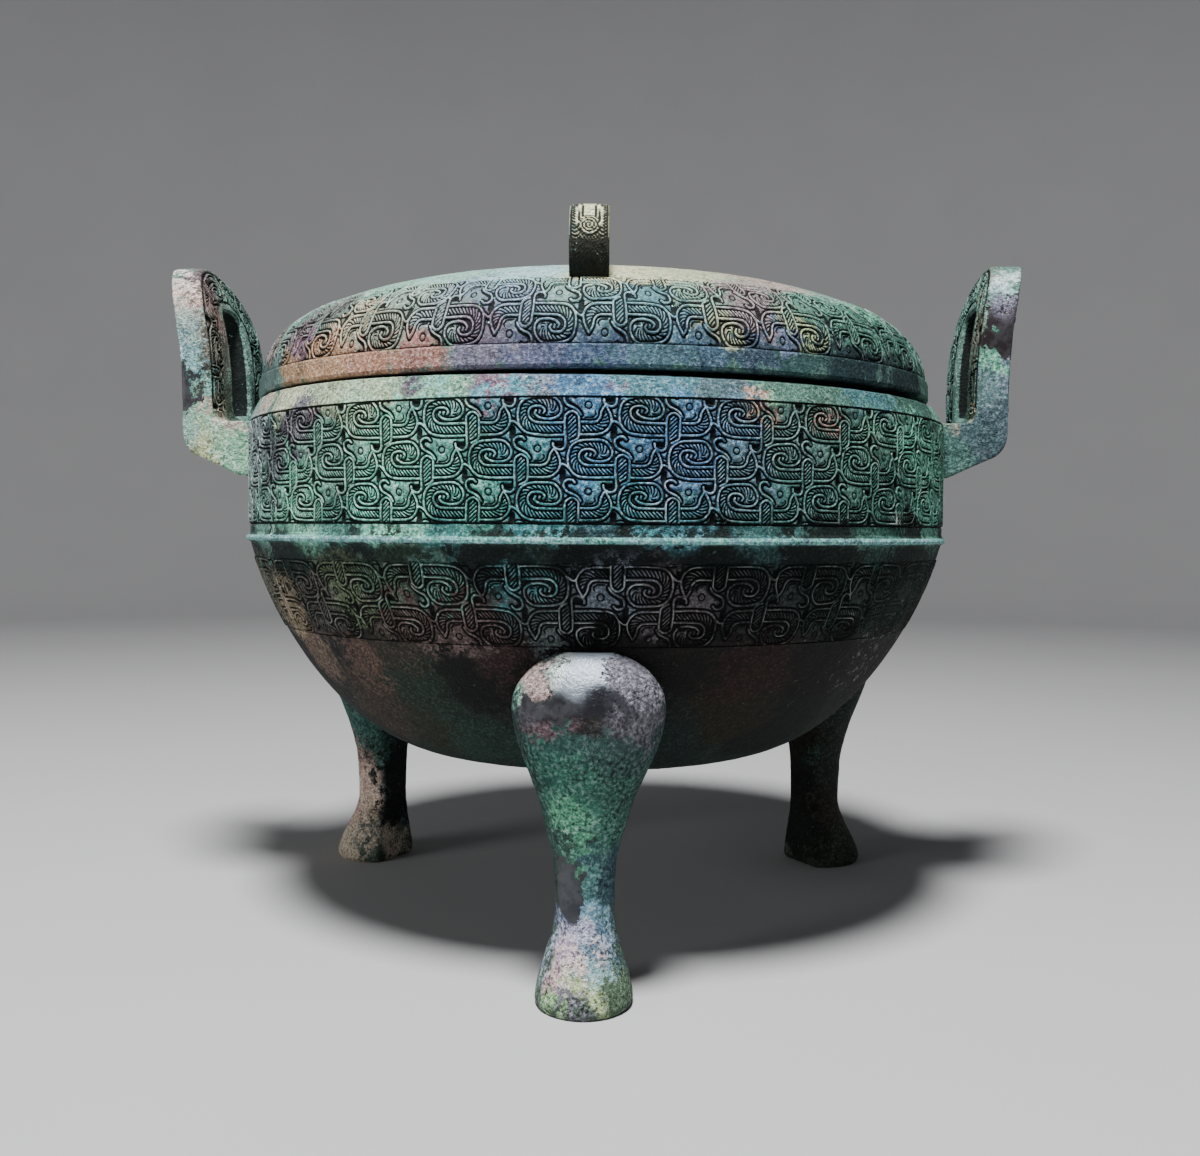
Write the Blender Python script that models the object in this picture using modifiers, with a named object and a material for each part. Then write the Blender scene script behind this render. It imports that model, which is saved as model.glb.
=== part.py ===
# Bronze tripod vessel: a hollow bowl on three hoof legs, two upright slotted handles, and a domed lid.
#
# Metres, +Z up, origin on the ground under the middle of the bowl. The front leg stands at -Y and the
# handles at -X and +X. The lid rests on the bowl's rim around a raised lip and lifts off.

import math

import bmesh
import bpy
from mathutils import Matrix, Vector

MM = 0.001

# Bowl, outside. Heights are stacked from the ground up.
BASE_HEIGHT = 57.3 * MM  # ground to the bowl's flat underside
BELLY_HEIGHT = 76.1 * MM  # underside to the ridge
SHOULDER_HEIGHT = 47.2 * MM  # ridge to the rim
WALL_RADIUS = 124.0 * MM  # outside of the upright wall
BASE_RADIUS = 52.5 * MM  # flat middle of the underside
RIM_INSET = 2.7 * MM  # how far the rim's edge lies inside the wall's face
RIDGE_PROUD = 1.0 * MM  # how far the ridge stands out of the wall
RIDGE_WIDTH = 3.2 * MM

# Bowl, inside
BOWL_WALL = 4.0 * MM
LEDGE_THICKNESS = 5.0 * MM  # the rim's inward shelf, which carries the lid
LIP_WIDTH = 3.0 * MM
LIP_HEIGHT = 5.5 * MM  # how far the lip reaches up inside the lid

# Knotwork: staggered rows of scrolls and bosses, one pair to each unit
UNITS_AROUND = 28
UPPER_ROWS = 3
LOWER_ROWS = 2
LID_ROWS = 2
RIM_BAND = 7.7 * MM  # plain strip between the rim and the upper knotwork
RIDGE_STRIP = 4.4 * MM  # plain strip between the upper knotwork and the ridge
BELLY_STRIP = 5.9 * MM  # plain strip between the ridge and the lower knotwork
LOWER_BAND_HEIGHT = 24.6 * MM
RELIEF = 0.8 * MM  # height of the knotwork over its ground
SCROLL_EDGE = 2.3 * MM  # width of a scroll's sloping side

# Legs
LEG_COUNT = 3
LEG_TURN = math.radians(0.75)  # the legs stand turned this far from the handles' line
LEG_REACH = 124.0 * MM  # furthest point of the knee and the hoof from the bowl's axis
LEG_INNER = 96.5 * MM  # flat inner side of the leg from the bowl's axis
KNEE_TOP = 101.8 * MM
KNEE_WIDTH = 44.2 * MM
ANKLE_WIDTH = 16.7 * MM
HOOF_WIDTH = 28.7 * MM
ANKLE_DEPTH = 17.6 * MM
LEG_FULLNESS = 0.4  # share of a leg's depth, from its flat side, at which it is widest
LEG_SIDES = 11  # flats on the rounded side of a leg

# Handles
HANDLE_WIDTH = 56.0 * MM  # along Y
HANDLE_THICKNESS = 11.0 * MM
HANDLE_REACH = 144.2 * MM  # outer face of the upright plate, from the bowl's axis
HANDLE_TURN = math.radians(2.5)  # the plates stand a little askew
LEFT_FLARE = 11.5 * MM  # how far the left plate's top leans out
RIGHT_FLARE = 8.7 * MM
HANDLE_TOP = 232.8 * MM
ARM_TOP = 174.3 * MM  # top of the arm that joins the plate to the bowl
ARM_DROP = 19.2 * MM  # arm's thickness at the bowl
ARM_RISE = 5.8 * MM  # how much higher the arm's underside is at the plate
ARM_ROUND = 9.0 * MM  # round outer corner between the arm and the plate
RIGHT_SLOT_WIDTH = 21.2 * MM
LEFT_SLOT_WIDTH = 17.9 * MM
LEFT_SLOT_BACK = 1.65 * MM  # how far the left slot lies behind the plate's middle
SLOT_TOP = 217.0 * MM
SLOT_BOTTOM = 177.5 * MM
SLOT_ROUND = 5.0 * MM

# Lid
LID_RADIUS = 119.9 * MM
LID_WALL = 4.0 * MM
LID_HEIGHT = 44.0 * MM
LID_RIM_STRIP = 6.7 * MM  # plain strip above the lid's edge
LID_RIM_PROUD = 1.1 * MM  # how far that strip stands out of the dome
LID_EDGE = 1.2 * MM  # chamfer under the lid's edge, which leaves a dark line
LID_BAND_RADIUS = 102.5 * MM  # where the lid's knotwork ends, towards the top
LID_CLEARANCE = 1.7 * MM  # all round, between the lip and the lid
REST_GAP = 0.3 * MM
LID_SHIFT = 1.1 * MM  # the lid sits this far off centre, towards -X
LID_TURN = math.radians(1.75)

# Loops on the lid
LOOP_COUNT = 3
LOOP_PLACE = 91.9 * MM  # radius at which they stand
LOOP_RADIUS = 13.5 * MM
LOOP_STRAP = 3.4 * MM
LOOP_WIDTH = 11.5 * MM
LOOP_LIFT = 4.6 * MM  # loop's centre above the dome

RIDGE_HEIGHT = BASE_HEIGHT + BELLY_HEIGHT
RIM_HEIGHT = RIDGE_HEIGHT + SHOULDER_HEIGHT
DOME_RADIUS = LID_RADIUS - LID_RIM_PROUD
STEPS = 2 * UNITS_AROUND


# Scene

for old in list(bpy.data.objects):
    bpy.data.objects.remove(old, do_unlink=True)

parts = bpy.data.collections.new("tripod_vessel")
helpers = bpy.data.collections.new("cutters")
bpy.context.scene.collection.children.link(parts)
bpy.context.scene.collection.children.link(helpers)


def new_material(name, colour, metallic, roughness):
    material = bpy.data.materials.new(name)
    material.use_nodes = True
    shader = material.node_tree.nodes["Principled BSDF"]
    shader.inputs["Base Color"].default_value = (*colour, 1.0)
    shader.inputs["Metallic"].default_value = metallic
    shader.inputs["Roughness"].default_value = roughness
    material.diffuse_color = (*colour, 1.0)
    return material


def add_object(name, mesh, collection):
    made = bpy.data.objects.new(name, mesh)
    collection.objects.link(made)
    if collection is helpers:
        made.hide_render = True
        made.display_type = "WIRE"
    return made


def baked_mesh(source, name):
    """The evaluated mesh of an object, which is then removed."""
    bpy.context.view_layer.update()
    graph = bpy.context.evaluated_depsgraph_get()
    mesh = bpy.data.meshes.new_from_object(source.evaluated_get(graph))
    mesh.name = name
    mesh.transform(source.matrix_world)
    welded = bmesh.new()
    welded.from_mesh(mesh)
    bmesh.ops.remove_doubles(welded, verts=welded.verts, dist=1e-6)
    welded.to_mesh(mesh)
    welded.free()
    bpy.data.objects.remove(source, do_unlink=True)
    return mesh


def add_boolean(target, operand, operation):
    modifier = target.modifiers.new(f"{operation.lower()} {operand.name}", "BOOLEAN")
    modifier.operation = operation
    modifier.object = operand
    modifier.solver = "EXACT"


# Turned shapes


def turned_mesh(name, profile):
    """A solid turned about Z from (radius, height) points that run down the outer side and back up inside."""
    mesh = bpy.data.meshes.new(name)
    points = [(radius, 0.0, height) for radius, height in profile]
    edges = [(i, i + 1) for i in range(len(points) - 1)]
    mesh.from_pydata(points, edges, [])
    blank = add_object(name, mesh, helpers)
    screw = blank.modifiers.new("turn", "SCREW")
    screw.steps = STEPS
    screw.render_steps = STEPS
    screw.use_merge_vertices = True
    screw.merge_threshold = 0.00001
    return baked_mesh(blank, name)


def offset_inwards(points, distance):
    """An open (radius, height) line that runs down an outer side, moved towards the inside."""
    moved = []
    for i, (radius, height) in enumerate(points):
        before = points[max(i - 1, 0)]
        after = points[min(i + 1, len(points) - 1)]
        along = Vector((after[0] - before[0], after[1] - before[1])).normalized()
        inner = radius + along.y * distance
        moved.append((max(inner, 0.0), height - along.x * distance))
    return moved


def bezier(start, first, second, end, share):
    rest = 1.0 - share
    weights = (rest**3, 3 * rest**2 * share, 3 * rest * share**2, share**3)
    corners = (start, first, second, end)
    return tuple(sum(w * c[k] for w, c in zip(weights, corners)) for k in (0, 1))


def belly_point(share):
    """(radius, height) on the belly's outside, from 0 under the ridge to 1 at the flat underside."""
    start = (WALL_RADIUS - 0.3 * MM, RIDGE_HEIGHT - RIDGE_WIDTH / 2)
    first = (0.938 * WALL_RADIUS, BASE_HEIGHT + 0.61 * BELLY_HEIGHT)
    second = (0.726 * WALL_RADIUS, BASE_HEIGHT + 0.002 * BELLY_HEIGHT)
    return bezier(start, first, second, (BASE_RADIUS, BASE_HEIGHT), share)


def belly_share(height):
    """The belly_point share at a height, found by halving."""
    low, high = 0.0, 1.0
    for _ in range(40):
        middle = (low + high) / 2
        if belly_point(middle)[1] > height:
            low = middle
        else:
            high = middle
    return low


def belly_radius(height):
    return belly_point(belly_share(height))[0]


# Knotwork


def carve_rows(mesh, row_heights, first_row):
    """Raises a scroll or a boss from each face of the rows between these heights, staggered row by row."""
    form = bmesh.new()
    form.from_mesh(mesh)
    form.normal_update()
    scrolls, bosses = [], []
    for face in form.faces:
        centre = face.calc_center_median()
        outward = face.normal.dot(Vector((centre.x, centre.y, 0.0)).normalized())
        low = min(vertex.co.z for vertex in face.verts)
        high = max(vertex.co.z for vertex in face.verts)
        for row in range(len(row_heights) - 1):
            top, bottom = row_heights[row], row_heights[row + 1]
            if outward < 0.1 or abs(high - top) > 1e-5 or abs(low - bottom) > 1e-5:
                continue
            turn = math.atan2(centre.y, centre.x) % (2 * math.pi)
            column = int(turn / (2 * math.pi) * STEPS)
            is_scroll = (column + row + first_row) % 2 == 0
            (scrolls if is_scroll else bosses).append(face)
    bmesh.ops.inset_individual(form, faces=scrolls, thickness=SCROLL_EDGE, depth=RELIEF)
    bmesh.ops.poke(form, faces=scrolls, offset=-0.8 * RELIEF)
    bmesh.ops.poke(form, faces=bosses, offset=RELIEF)
    form.to_mesh(mesh)
    form.free()


# Bowl


def upper_rows():
    top = RIM_HEIGHT - RIM_BAND
    bottom = RIDGE_HEIGHT + RIDGE_STRIP
    return [top + (bottom - top) * row / UPPER_ROWS for row in range(UPPER_ROWS + 1)]


def lower_rows():
    top = RIDGE_HEIGHT - BELLY_STRIP
    return [top - LOWER_BAND_HEIGHT * row / LOWER_ROWS for row in range(LOWER_ROWS + 1)]


def lip_outer_radius():
    return DOME_RADIUS - LID_WALL - LID_CLEARANCE


def bowl_profile():
    rim_radius = WALL_RADIUS - RIM_INSET
    rim_round = 1.2 * MM
    lip = lip_outer_radius()
    outside = [(lip - LIP_WIDTH, RIM_HEIGHT + LIP_HEIGHT), (lip, RIM_HEIGHT + LIP_HEIGHT)]
    outside += [(lip, RIM_HEIGHT), (rim_radius - rim_round, RIM_HEIGHT)]
    outside += [(rim_radius, RIM_HEIGHT - rim_round)]
    outside += [(WALL_RADIUS, height) for height in upper_rows()]
    outside += [(WALL_RADIUS, RIDGE_HEIGHT + RIDGE_WIDTH / 2)]
    outside += [(WALL_RADIUS + RIDGE_PROUD, RIDGE_HEIGHT + RIDGE_WIDTH / 4)]
    outside += [(WALL_RADIUS + RIDGE_PROUD, RIDGE_HEIGHT - RIDGE_WIDTH / 4)]
    outside += [belly_point(0.0)]
    outside += [(belly_radius(height), height) for height in lower_rows()]
    lowest = belly_share(lower_rows()[-1])
    curved = [belly_point(lowest + (1 - lowest) * step / 5) for step in range(1, 6)]
    outside += curved + [(0.0, BASE_HEIGHT)]

    belly = [belly_point(step / 5) for step in range(6)]
    hollow = offset_inwards(belly, BOWL_WALL)[1:]
    inside = [(0.0, BASE_HEIGHT + BOWL_WALL)] + hollow[::-1]
    inside += [(WALL_RADIUS - BOWL_WALL, RIDGE_HEIGHT)]
    shelf = RIM_HEIGHT - LEDGE_THICKNESS
    inside += [(WALL_RADIUS - BOWL_WALL, shelf - LEDGE_THICKNESS), (lip - LIP_WIDTH, shelf)]
    return inside + outside


def build_bowl():
    mesh = turned_mesh("bowl", bowl_profile())
    carve_rows(mesh, upper_rows(), 0)
    carve_rows(mesh, lower_rows(), 1)
    return mesh


# Legs


def smooth_step(share):
    return share * share * (3 - 2 * share)


def between(stations, height):
    """A value read at a height from (height, value) stations, eased from one to the next."""
    for (low, first), (high, second) in zip(stations, stations[1:]):
        if height <= high:
            return first + (second - first) * smooth_step((height - low) / (high - low))
    return stations[-1][1]


def leg_widths():
    return [
        (0.0, HOOF_WIDTH),
        (0.26 * KNEE_TOP, ANKLE_WIDTH),
        (0.40 * KNEE_TOP, 1.03 * ANKLE_WIDTH),
        (0.84 * KNEE_TOP, KNEE_WIDTH),
        (0.92 * KNEE_TOP, 0.86 * KNEE_WIDTH),
        (KNEE_TOP, 0.34 * KNEE_WIDTH),
    ]


def leg_reaches():
    ankle = LEG_INNER + ANKLE_DEPTH
    return [
        (0.0, LEG_REACH),
        (0.26 * KNEE_TOP, ankle),
        (0.40 * KNEE_TOP, 1.004 * ankle),
        (0.84 * KNEE_TOP, LEG_REACH),
        (KNEE_TOP, belly_radius(KNEE_TOP) - 0.2 * BOWL_WALL),
    ]


def leg_section(height):
    """Points of the leg's D-shaped outline at a height, for a leg that reaches out along -Y."""
    half = between(leg_widths(), height) / 2
    reach = between(leg_reaches(), height)
    # Where the leg meets the bowl its inner side ends halfway through the bowl's wall.
    in_wall = belly_radius(height) - BOWL_WALL / 2 if height > BASE_HEIGHT else 0.0
    inner = max(LEG_INNER, in_wall)
    widest = inner + LEG_FULLNESS * (reach - inner)
    corner = math.acos(-LEG_FULLNESS / (1 - LEG_FULLNESS))
    points = []
    for side in range(LEG_SIDES + 1):
        turn = corner * (2 * side / LEG_SIDES - 1)
        points.append((half * math.sin(turn), -widest - (reach - widest) * math.cos(turn)))
    back = half * math.sin(corner)
    points += [(back * share, -inner) for share in (0.4, -0.4)]
    if in_wall > LEG_INNER:
        # The inner side follows the bowl round, so that no corner comes through the wall.
        points = [(x, y + inner - math.sqrt(inner**2 - x**2)) for x, y in points]
    return points


def leg_heights():
    shares = (0.0, 0.06, 0.13, 0.20, 0.28, 0.40, 0.52, 0.64, 0.74, 0.83, 0.90, 0.95, 0.98, 1.0)
    return [share * KNEE_TOP for share in shares]


def build_leg(name, turn):
    form = bmesh.new()
    rings = []
    for height in leg_heights():
        rings.append([form.verts.new((x, y, height)) for x, y in leg_section(height)])
    for lower, upper in zip(rings, rings[1:]):
        for i in range(len(lower)):
            j = (i + 1) % len(lower)
            form.faces.new((lower[i], lower[j], upper[j], upper[i]))
    form.faces.new(rings[0][::-1])
    form.faces.new(rings[-1])
    bmesh.ops.recalc_face_normals(form, faces=form.faces)
    mesh = bpy.data.meshes.new(name)
    form.to_mesh(mesh)
    form.free()
    leg = add_object(name, mesh, helpers)
    leg.rotation_euler.z = turn
    return leg


# Handles


def flat_plate(name, outline, thickness):
    """A plate of this outline, standing in the XZ plane, with half its thickness on each side of it."""
    curve = bpy.data.curves.new(name, "CURVE")
    curve.dimensions = "2D"
    curve.fill_mode = "BOTH"
    curve.extrude = thickness / 2
    line = curve.splines.new("POLY")
    line.points.add(len(outline) - 1)
    for point, (x, z) in zip(line.points, outline):
        point.co = (x, z, 0.0, 1.0)
    line.use_cyclic_u = True
    flat = add_object(name, curve, helpers)
    flat.rotation_euler.x = math.pi / 2
    mesh = baked_mesh(flat, name)
    form = bmesh.new()
    form.from_mesh(mesh)
    bmesh.ops.recalc_face_normals(form, faces=form.faces)
    form.to_mesh(mesh)
    form.free()
    return mesh


def arc(centre, radius, first, last, steps):
    """Points of an arc, with its angles in degrees and its radius one number or one for each axis."""
    across, up = radius if isinstance(radius, tuple) else (radius, radius)
    points = []
    for step in range(steps + 1):
        turn = math.radians(first + (last - first) * step / steps)
        points.append((centre[0] + across * math.cos(turn), centre[1] + up * math.sin(turn)))
    return points


def handle_side(flare):
    """Outline of the arm and the plate, which leans out by flare at its top, seen along Y."""
    shares = (0.0, 0.35, 0.55, 0.7, 0.85, 1.0)
    plate = [(flare * share**3, ARM_TOP + (HANDLE_TOP - ARM_TOP) * share) for share in shares]
    under = ARM_TOP - ARM_DROP
    root = WALL_RADIUS - 3 * BOWL_WALL
    centre = (HANDLE_REACH - ARM_ROUND, under + ARM_RISE + ARM_ROUND)
    outline = [(root, ARM_TOP), (root, under), (WALL_RADIUS, under)]
    outline += arc(centre, ARM_ROUND, -75, 0, 4)
    outline += [(HANDLE_REACH + leant, height) for leant, height in plate[1:]]
    inner = HANDLE_REACH - HANDLE_THICKNESS
    outline += [(inner + leant, height) for leant, height in plate[:0:-1]]
    fillet = 0.25 * HANDLE_THICKNESS
    outline += [(inner, ARM_TOP + fillet), (inner - fillet, ARM_TOP)]
    return outline


def handle_front():
    """Outline of the round-topped plate, seen along X."""
    half = HANDLE_WIDTH / 2
    rise = min(half, HANDLE_TOP - ARM_TOP)
    low = ARM_TOP - 2 * ARM_DROP
    return [(half, low)] + arc((0.0, HANDLE_TOP - rise), (half, rise), 0, 180, 12) + [(-half, low)]


def slot_outline(width, aside):
    half = width / 2 - SLOT_ROUND
    low, high = SLOT_BOTTOM + SLOT_ROUND, SLOT_TOP - SLOT_ROUND
    points = []
    for x, z, first in ((half, high, 0), (-half, high, 90), (-half, low, 180), (half, low, 270)):
        points += arc((x + aside, z), SLOT_ROUND, first, first + 90, 3)
    return points


def turned_core(name, radius, low, high):
    """A plain cylinder about Z."""
    mesh = bpy.data.meshes.new(name)
    form = bmesh.new()
    bmesh.ops.create_cone(
        form,
        cap_ends=True,
        segments=STEPS,
        radius1=radius,
        radius2=radius,
        depth=high - low,
    )
    bmesh.ops.translate(form, verts=form.verts, vec=(0.0, 0.0, (high + low) / 2))
    form.to_mesh(mesh)
    form.free()
    return add_object(name, mesh, helpers)


def build_handle(name, side, flare, slot_width, slot_aside):
    pivot = Matrix.Translation((HANDLE_REACH, 0.0, 0.0))
    askew = pivot @ Matrix.Rotation(-HANDLE_TURN, 4, "Z")
    quarter = Matrix.Rotation(math.pi / 2, 4, "Z")
    wide = 2 * (HANDLE_REACH - WALL_RADIUS + 3 * BOWL_WALL + flare)
    plate_mesh = flat_plate(name, handle_side(flare), HANDLE_WIDTH)
    front_mesh = flat_plate(f"{name} front", handle_front(), wide)
    slot_mesh = flat_plate(f"{name} slot", slot_outline(slot_width, slot_aside), wide)
    plate_mesh.transform(askew @ pivot.inverted())
    front_mesh.transform(askew @ quarter)
    slot_mesh.transform(askew @ quarter)
    plate = add_object(name, plate_mesh, helpers)
    add_boolean(plate, add_object(f"{name} front", front_mesh, helpers), "INTERSECT")
    add_boolean(plate, add_object(f"{name} slot", slot_mesh, helpers), "DIFFERENCE")
    root = turned_core(f"{name} root", WALL_RADIUS - BOWL_WALL / 2, BASE_HEIGHT, 2 * RIM_HEIGHT)
    add_boolean(plate, root, "DIFFERENCE")
    mesh = baked_mesh(plate, name)
    handle = add_object(name, mesh, helpers)
    handle.rotation_euler.z = 0.0 if side > 0 else math.pi
    return handle


# Lid, modelled with its edge at height 0


def dome_height(radius):
    share = min(radius / DOME_RADIUS, 1.0)
    return LID_HEIGHT * (1 - share**2.13) ** (1 / 3)


def dome_radius(height):
    share = min(height / LID_HEIGHT, 1.0)
    return DOME_RADIUS * (1 - share**3) ** (1 / 2.13)


def dome_line():
    """(radius, height) points on the dome from the lid's plain strip to the top, evenly spaced."""
    start = dome_radius(LID_RIM_STRIP)
    count = 240
    fine = [(start * math.cos(math.pi / 2 * i / count)) for i in range(count + 1)]
    points = [(radius, dome_height(radius)) for radius in fine]
    lengths = [0.0]
    for first, second in zip(points, points[1:]):
        lengths.append(lengths[-1] + math.dist(first, second))
    return points, lengths


def dome_at(length, points, lengths):
    for i in range(len(points) - 1):
        if length <= lengths[i + 1]:
            share = (length - lengths[i]) / (lengths[i + 1] - lengths[i])
            return tuple(points[i][k] + (points[i + 1][k] - points[i][k]) * share for k in (0, 1))
    return points[-1]


def lid_row_points():
    points, lengths = dome_line()
    reach = next(s for p, s in zip(points, lengths) if p[0] <= LID_BAND_RADIUS)
    return [dome_at(reach * row / LID_ROWS, points, lengths) for row in range(LID_ROWS + 1)]


def lid_profile():
    rows = lid_row_points()
    inner_shares = (0.93, 0.80, 0.62, 0.42, 0.20)
    crown = [(LID_BAND_RADIUS * s, dome_height(LID_BAND_RADIUS * s)) for s in inner_shares]
    outside = [(0.0, LID_HEIGHT)] + crown[::-1] + rows[::-1]
    outside += [(LID_RADIUS - 0.3 * LID_RIM_PROUD, LID_RIM_STRIP), (LID_RADIUS, LID_EDGE)]
    bore = DOME_RADIUS - LID_WALL
    outside += [(LID_RADIUS - LID_EDGE, 0.0), (bore, 0.0)]
    radii = [DOME_RADIUS * share for share in (0.998, 0.975, 0.92, 0.84, 0.66, 0.40, 0.16)]
    skin = [(radius, dome_height(radius)) for radius in radii[::-1]]
    hollow = offset_inwards(skin, LID_WALL)[::-1]
    return outside + hollow + [(0.0, LID_HEIGHT - LID_WALL)]


def place_with_lid(made, turn):
    made.location = (-LID_SHIFT, 0.0, RIM_HEIGHT + REST_GAP)
    made.rotation_euler.z = LID_TURN + turn


def build_loop(name, turn, core):
    """A strap bent round in a ring, standing square on the dome and cut off inside the lid's wall."""
    base = dome_height(LOOP_PLACE)
    step = 0.5 * MM
    rise = dome_height(LOOP_PLACE - step) - dome_height(LOOP_PLACE + step)
    lean_out = math.atan2(rise, 2 * step)
    centre = (LOOP_PLACE + LOOP_LIFT * math.sin(lean_out), base + LOOP_LIFT * math.cos(lean_out))
    outline = arc(centre, LOOP_RADIUS, 0, 337.5, 15)
    hole = arc(centre, LOOP_RADIUS - LOOP_STRAP, 0, 337.5, 15)
    loop = add_object(name, flat_plate(name, outline, LOOP_WIDTH), helpers)
    bore = add_object(f"{name} hole", flat_plate(f"{name} hole", hole, 2 * LOOP_WIDTH), helpers)
    add_boolean(loop, bore, "DIFFERENCE")
    add_boolean(loop, core, "DIFFERENCE")
    made = add_object(name, baked_mesh(loop, name), helpers)
    place_with_lid(made, turn)
    return made


def build_core():
    """The lid's hollow grown to the middle of its wall, which ends the loops there."""
    radii = [DOME_RADIUS * math.sin(math.pi / 2 * step / 12) for step in range(1, 13)]
    skin = [(radius, dome_height(radius)) for radius in radii]
    line = offset_inwards(skin, LID_WALL / 2)
    line = [(0.0, LID_HEIGHT - LID_WALL / 2)] + line + [(line[-1][0], -LID_WALL)]
    return add_object("lid core", turned_mesh("lid core", line + [(0.0, -LID_WALL)]), helpers)


# Assembly

bronze = new_material("patinated_bronze", (0.16, 0.30, 0.28), 0.35, 0.55)
lid_bronze = new_material("patinated_bronze_lid", (0.30, 0.44, 0.38), 0.35, 0.55)

vessel = add_object("vessel", build_bowl(), parts)
for number in range(LEG_COUNT):
    leg_turn = 2 * math.pi * number / LEG_COUNT + LEG_TURN
    add_boolean(vessel, build_leg(f"leg {number}", leg_turn), "UNION")
add_boolean(vessel, build_handle("left handle", -1, LEFT_FLARE, LEFT_SLOT_WIDTH, -LEFT_SLOT_BACK), "UNION")
add_boolean(vessel, build_handle("right handle", 1, RIGHT_FLARE, RIGHT_SLOT_WIDTH, 0.0), "UNION")

lid_mesh = turned_mesh("lid", lid_profile())
carve_rows(lid_mesh, [height for _, height in lid_row_points()][::-1], 0)
lid = add_object("lid", lid_mesh, parts)
lid_core = build_core()
for number in range(LOOP_COUNT):
    loop_turn = 2 * math.pi * number / LOOP_COUNT - math.pi / 2
    add_boolean(lid, build_loop(f"loop {number}", loop_turn, lid_core), "UNION")
place_with_lid(lid, 0.0)

for made, material in ((vessel, bronze), (lid, lid_bronze)):
    made.data.materials.clear()
    made.data.materials.append(material)
    made.data.shade_smooth()
    made.data.set_sharp_from_angle(angle=math.radians(32))
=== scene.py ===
import math

import bpy
import numpy as np
from mathutils import Matrix, Vector


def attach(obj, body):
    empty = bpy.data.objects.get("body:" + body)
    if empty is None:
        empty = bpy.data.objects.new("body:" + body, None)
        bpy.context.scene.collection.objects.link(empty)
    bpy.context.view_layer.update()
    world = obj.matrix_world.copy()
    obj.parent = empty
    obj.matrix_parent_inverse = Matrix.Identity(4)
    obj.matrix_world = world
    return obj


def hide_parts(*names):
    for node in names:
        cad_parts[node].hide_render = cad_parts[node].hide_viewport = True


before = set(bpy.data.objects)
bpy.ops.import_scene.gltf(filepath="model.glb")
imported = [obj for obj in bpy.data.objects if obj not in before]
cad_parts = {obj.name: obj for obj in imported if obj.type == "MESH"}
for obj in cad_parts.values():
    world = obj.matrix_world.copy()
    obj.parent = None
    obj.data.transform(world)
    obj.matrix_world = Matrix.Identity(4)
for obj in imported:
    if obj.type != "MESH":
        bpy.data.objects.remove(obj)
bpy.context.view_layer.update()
print("frame loaded")

# Lidded bronze tripod with two upright handles, cast knotwork and a crusty green patina.
# The tables are in millimetres and degrees; the meshes are in metres.
mm = 0.001


# Small tools

def linear(hexText):
    parts = [int(hexText[i:i + 2], 16) / 255 for i in (1, 3, 5)]
    return tuple(c / 12.92 if c <= 0.04045 else ((c + 0.055) / 1.055) ** 2.4 for c in parts)


def opaque(hexText):
    return (*linear(hexText), 1)


def fade(value, start, end):  # 1 at start and before it, 0 at end and past it
    share = np.clip((value - start) / (end - start), 0, 1)
    return 1 - share * share * (3 - 2 * share)


def softNoise(points, size, seed=0):  # smooth random values from -1 to 1; the large numbers only scramble
    place = points / size
    cell = np.floor(place).astype(np.int64)
    part = place - cell
    part = part * part * (3 - 2 * part)
    total = np.zeros(len(points))
    for corner in range(8):
        step = np.array([corner & 1, corner >> 1 & 1, corner >> 2 & 1])
        key = (cell + step) @ np.array([73856093, 19349663, 83492791]) + seed * 1013904223
        key = (key ^ key >> 13) * 1274126177 & 0x7FFFFFFF
        key = (key ^ key >> 15) * 668265263 & 0x7FFFFFFF
        total += np.prod(np.where(step, part, 1 - part), axis=1) * ((key ^ key >> 14) & 0xFFFF) / 32767.5
    return total - 1


def layeredNoise(points, size, layers=3, seed=0):
    total, weight, most = 0, 1, 0
    for layer in range(layers):
        total = total + weight * softNoise(points, size / 2**layer, seed + layer)
        most += weight
        weight *= 0.55
    return total / most


def turnFlat(x, y, degrees):  # about the vertical axis
    angle = math.radians(degrees)
    return x * math.cos(angle) - y * math.sin(angle), x * math.sin(angle) + y * math.cos(angle)


def setMode(mode):
    bpy.ops.object.mode_set(mode=mode)


def selectAll():
    bpy.ops.mesh.select_all(action="SELECT")


def clearSelection():
    if bpy.context.object and bpy.context.object.mode != "OBJECT":
        setMode("OBJECT")
    bpy.ops.object.select_all(action="DESELECT")


def pick(piece):
    clearSelection()
    piece.select_set(True)
    bpy.context.view_layer.objects.active = piece


def readPoints(piece, what="co"):  # or the points' normals
    values = np.empty(3 * len(piece.data.vertices))
    piece.data.vertices.foreach_get(what, values)
    return values.reshape(-1, 3)


def writePoints(piece, points):
    piece.data.vertices.foreach_set("co", points.ravel())
    piece.data.update()


def writeLayer(piece, name, values):  # a number or a colour on every point
    coloured = values.ndim > 1
    layer = piece.data.attributes.new(name, "FLOAT_COLOR" if coloured else "FLOAT", "POINT")
    layer.data.foreach_set("color" if coloured else "value", values.ravel())


def meshPiece(name, points, faces):  # points in metres
    mesh = bpy.data.meshes.new(name)
    mesh.from_pydata(points.tolist(), [], faces)
    mesh.update()
    piece = bpy.data.objects.new(name, mesh)
    bpy.context.scene.collection.objects.link(piece)
    return piece


def drawLine(name, points):  # one vertex, drawn out from point to point; millimetres
    clearSelection()
    bpy.ops.mesh.primitive_plane_add(size=0.01)
    piece = bpy.context.object
    piece.name = piece.data.name = name
    setMode("EDIT")
    bpy.ops.mesh.select_mode(type="VERT")
    selectAll()
    bpy.ops.mesh.merge(type="CENTER")
    points = np.array(points) * mm
    bpy.ops.transform.translate(value=points[0])
    for step in np.diff(points, axis=0):
        bpy.ops.mesh.extrude_region_move(TRANSFORM_OT_translate={"value": step})
    return piece


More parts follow.
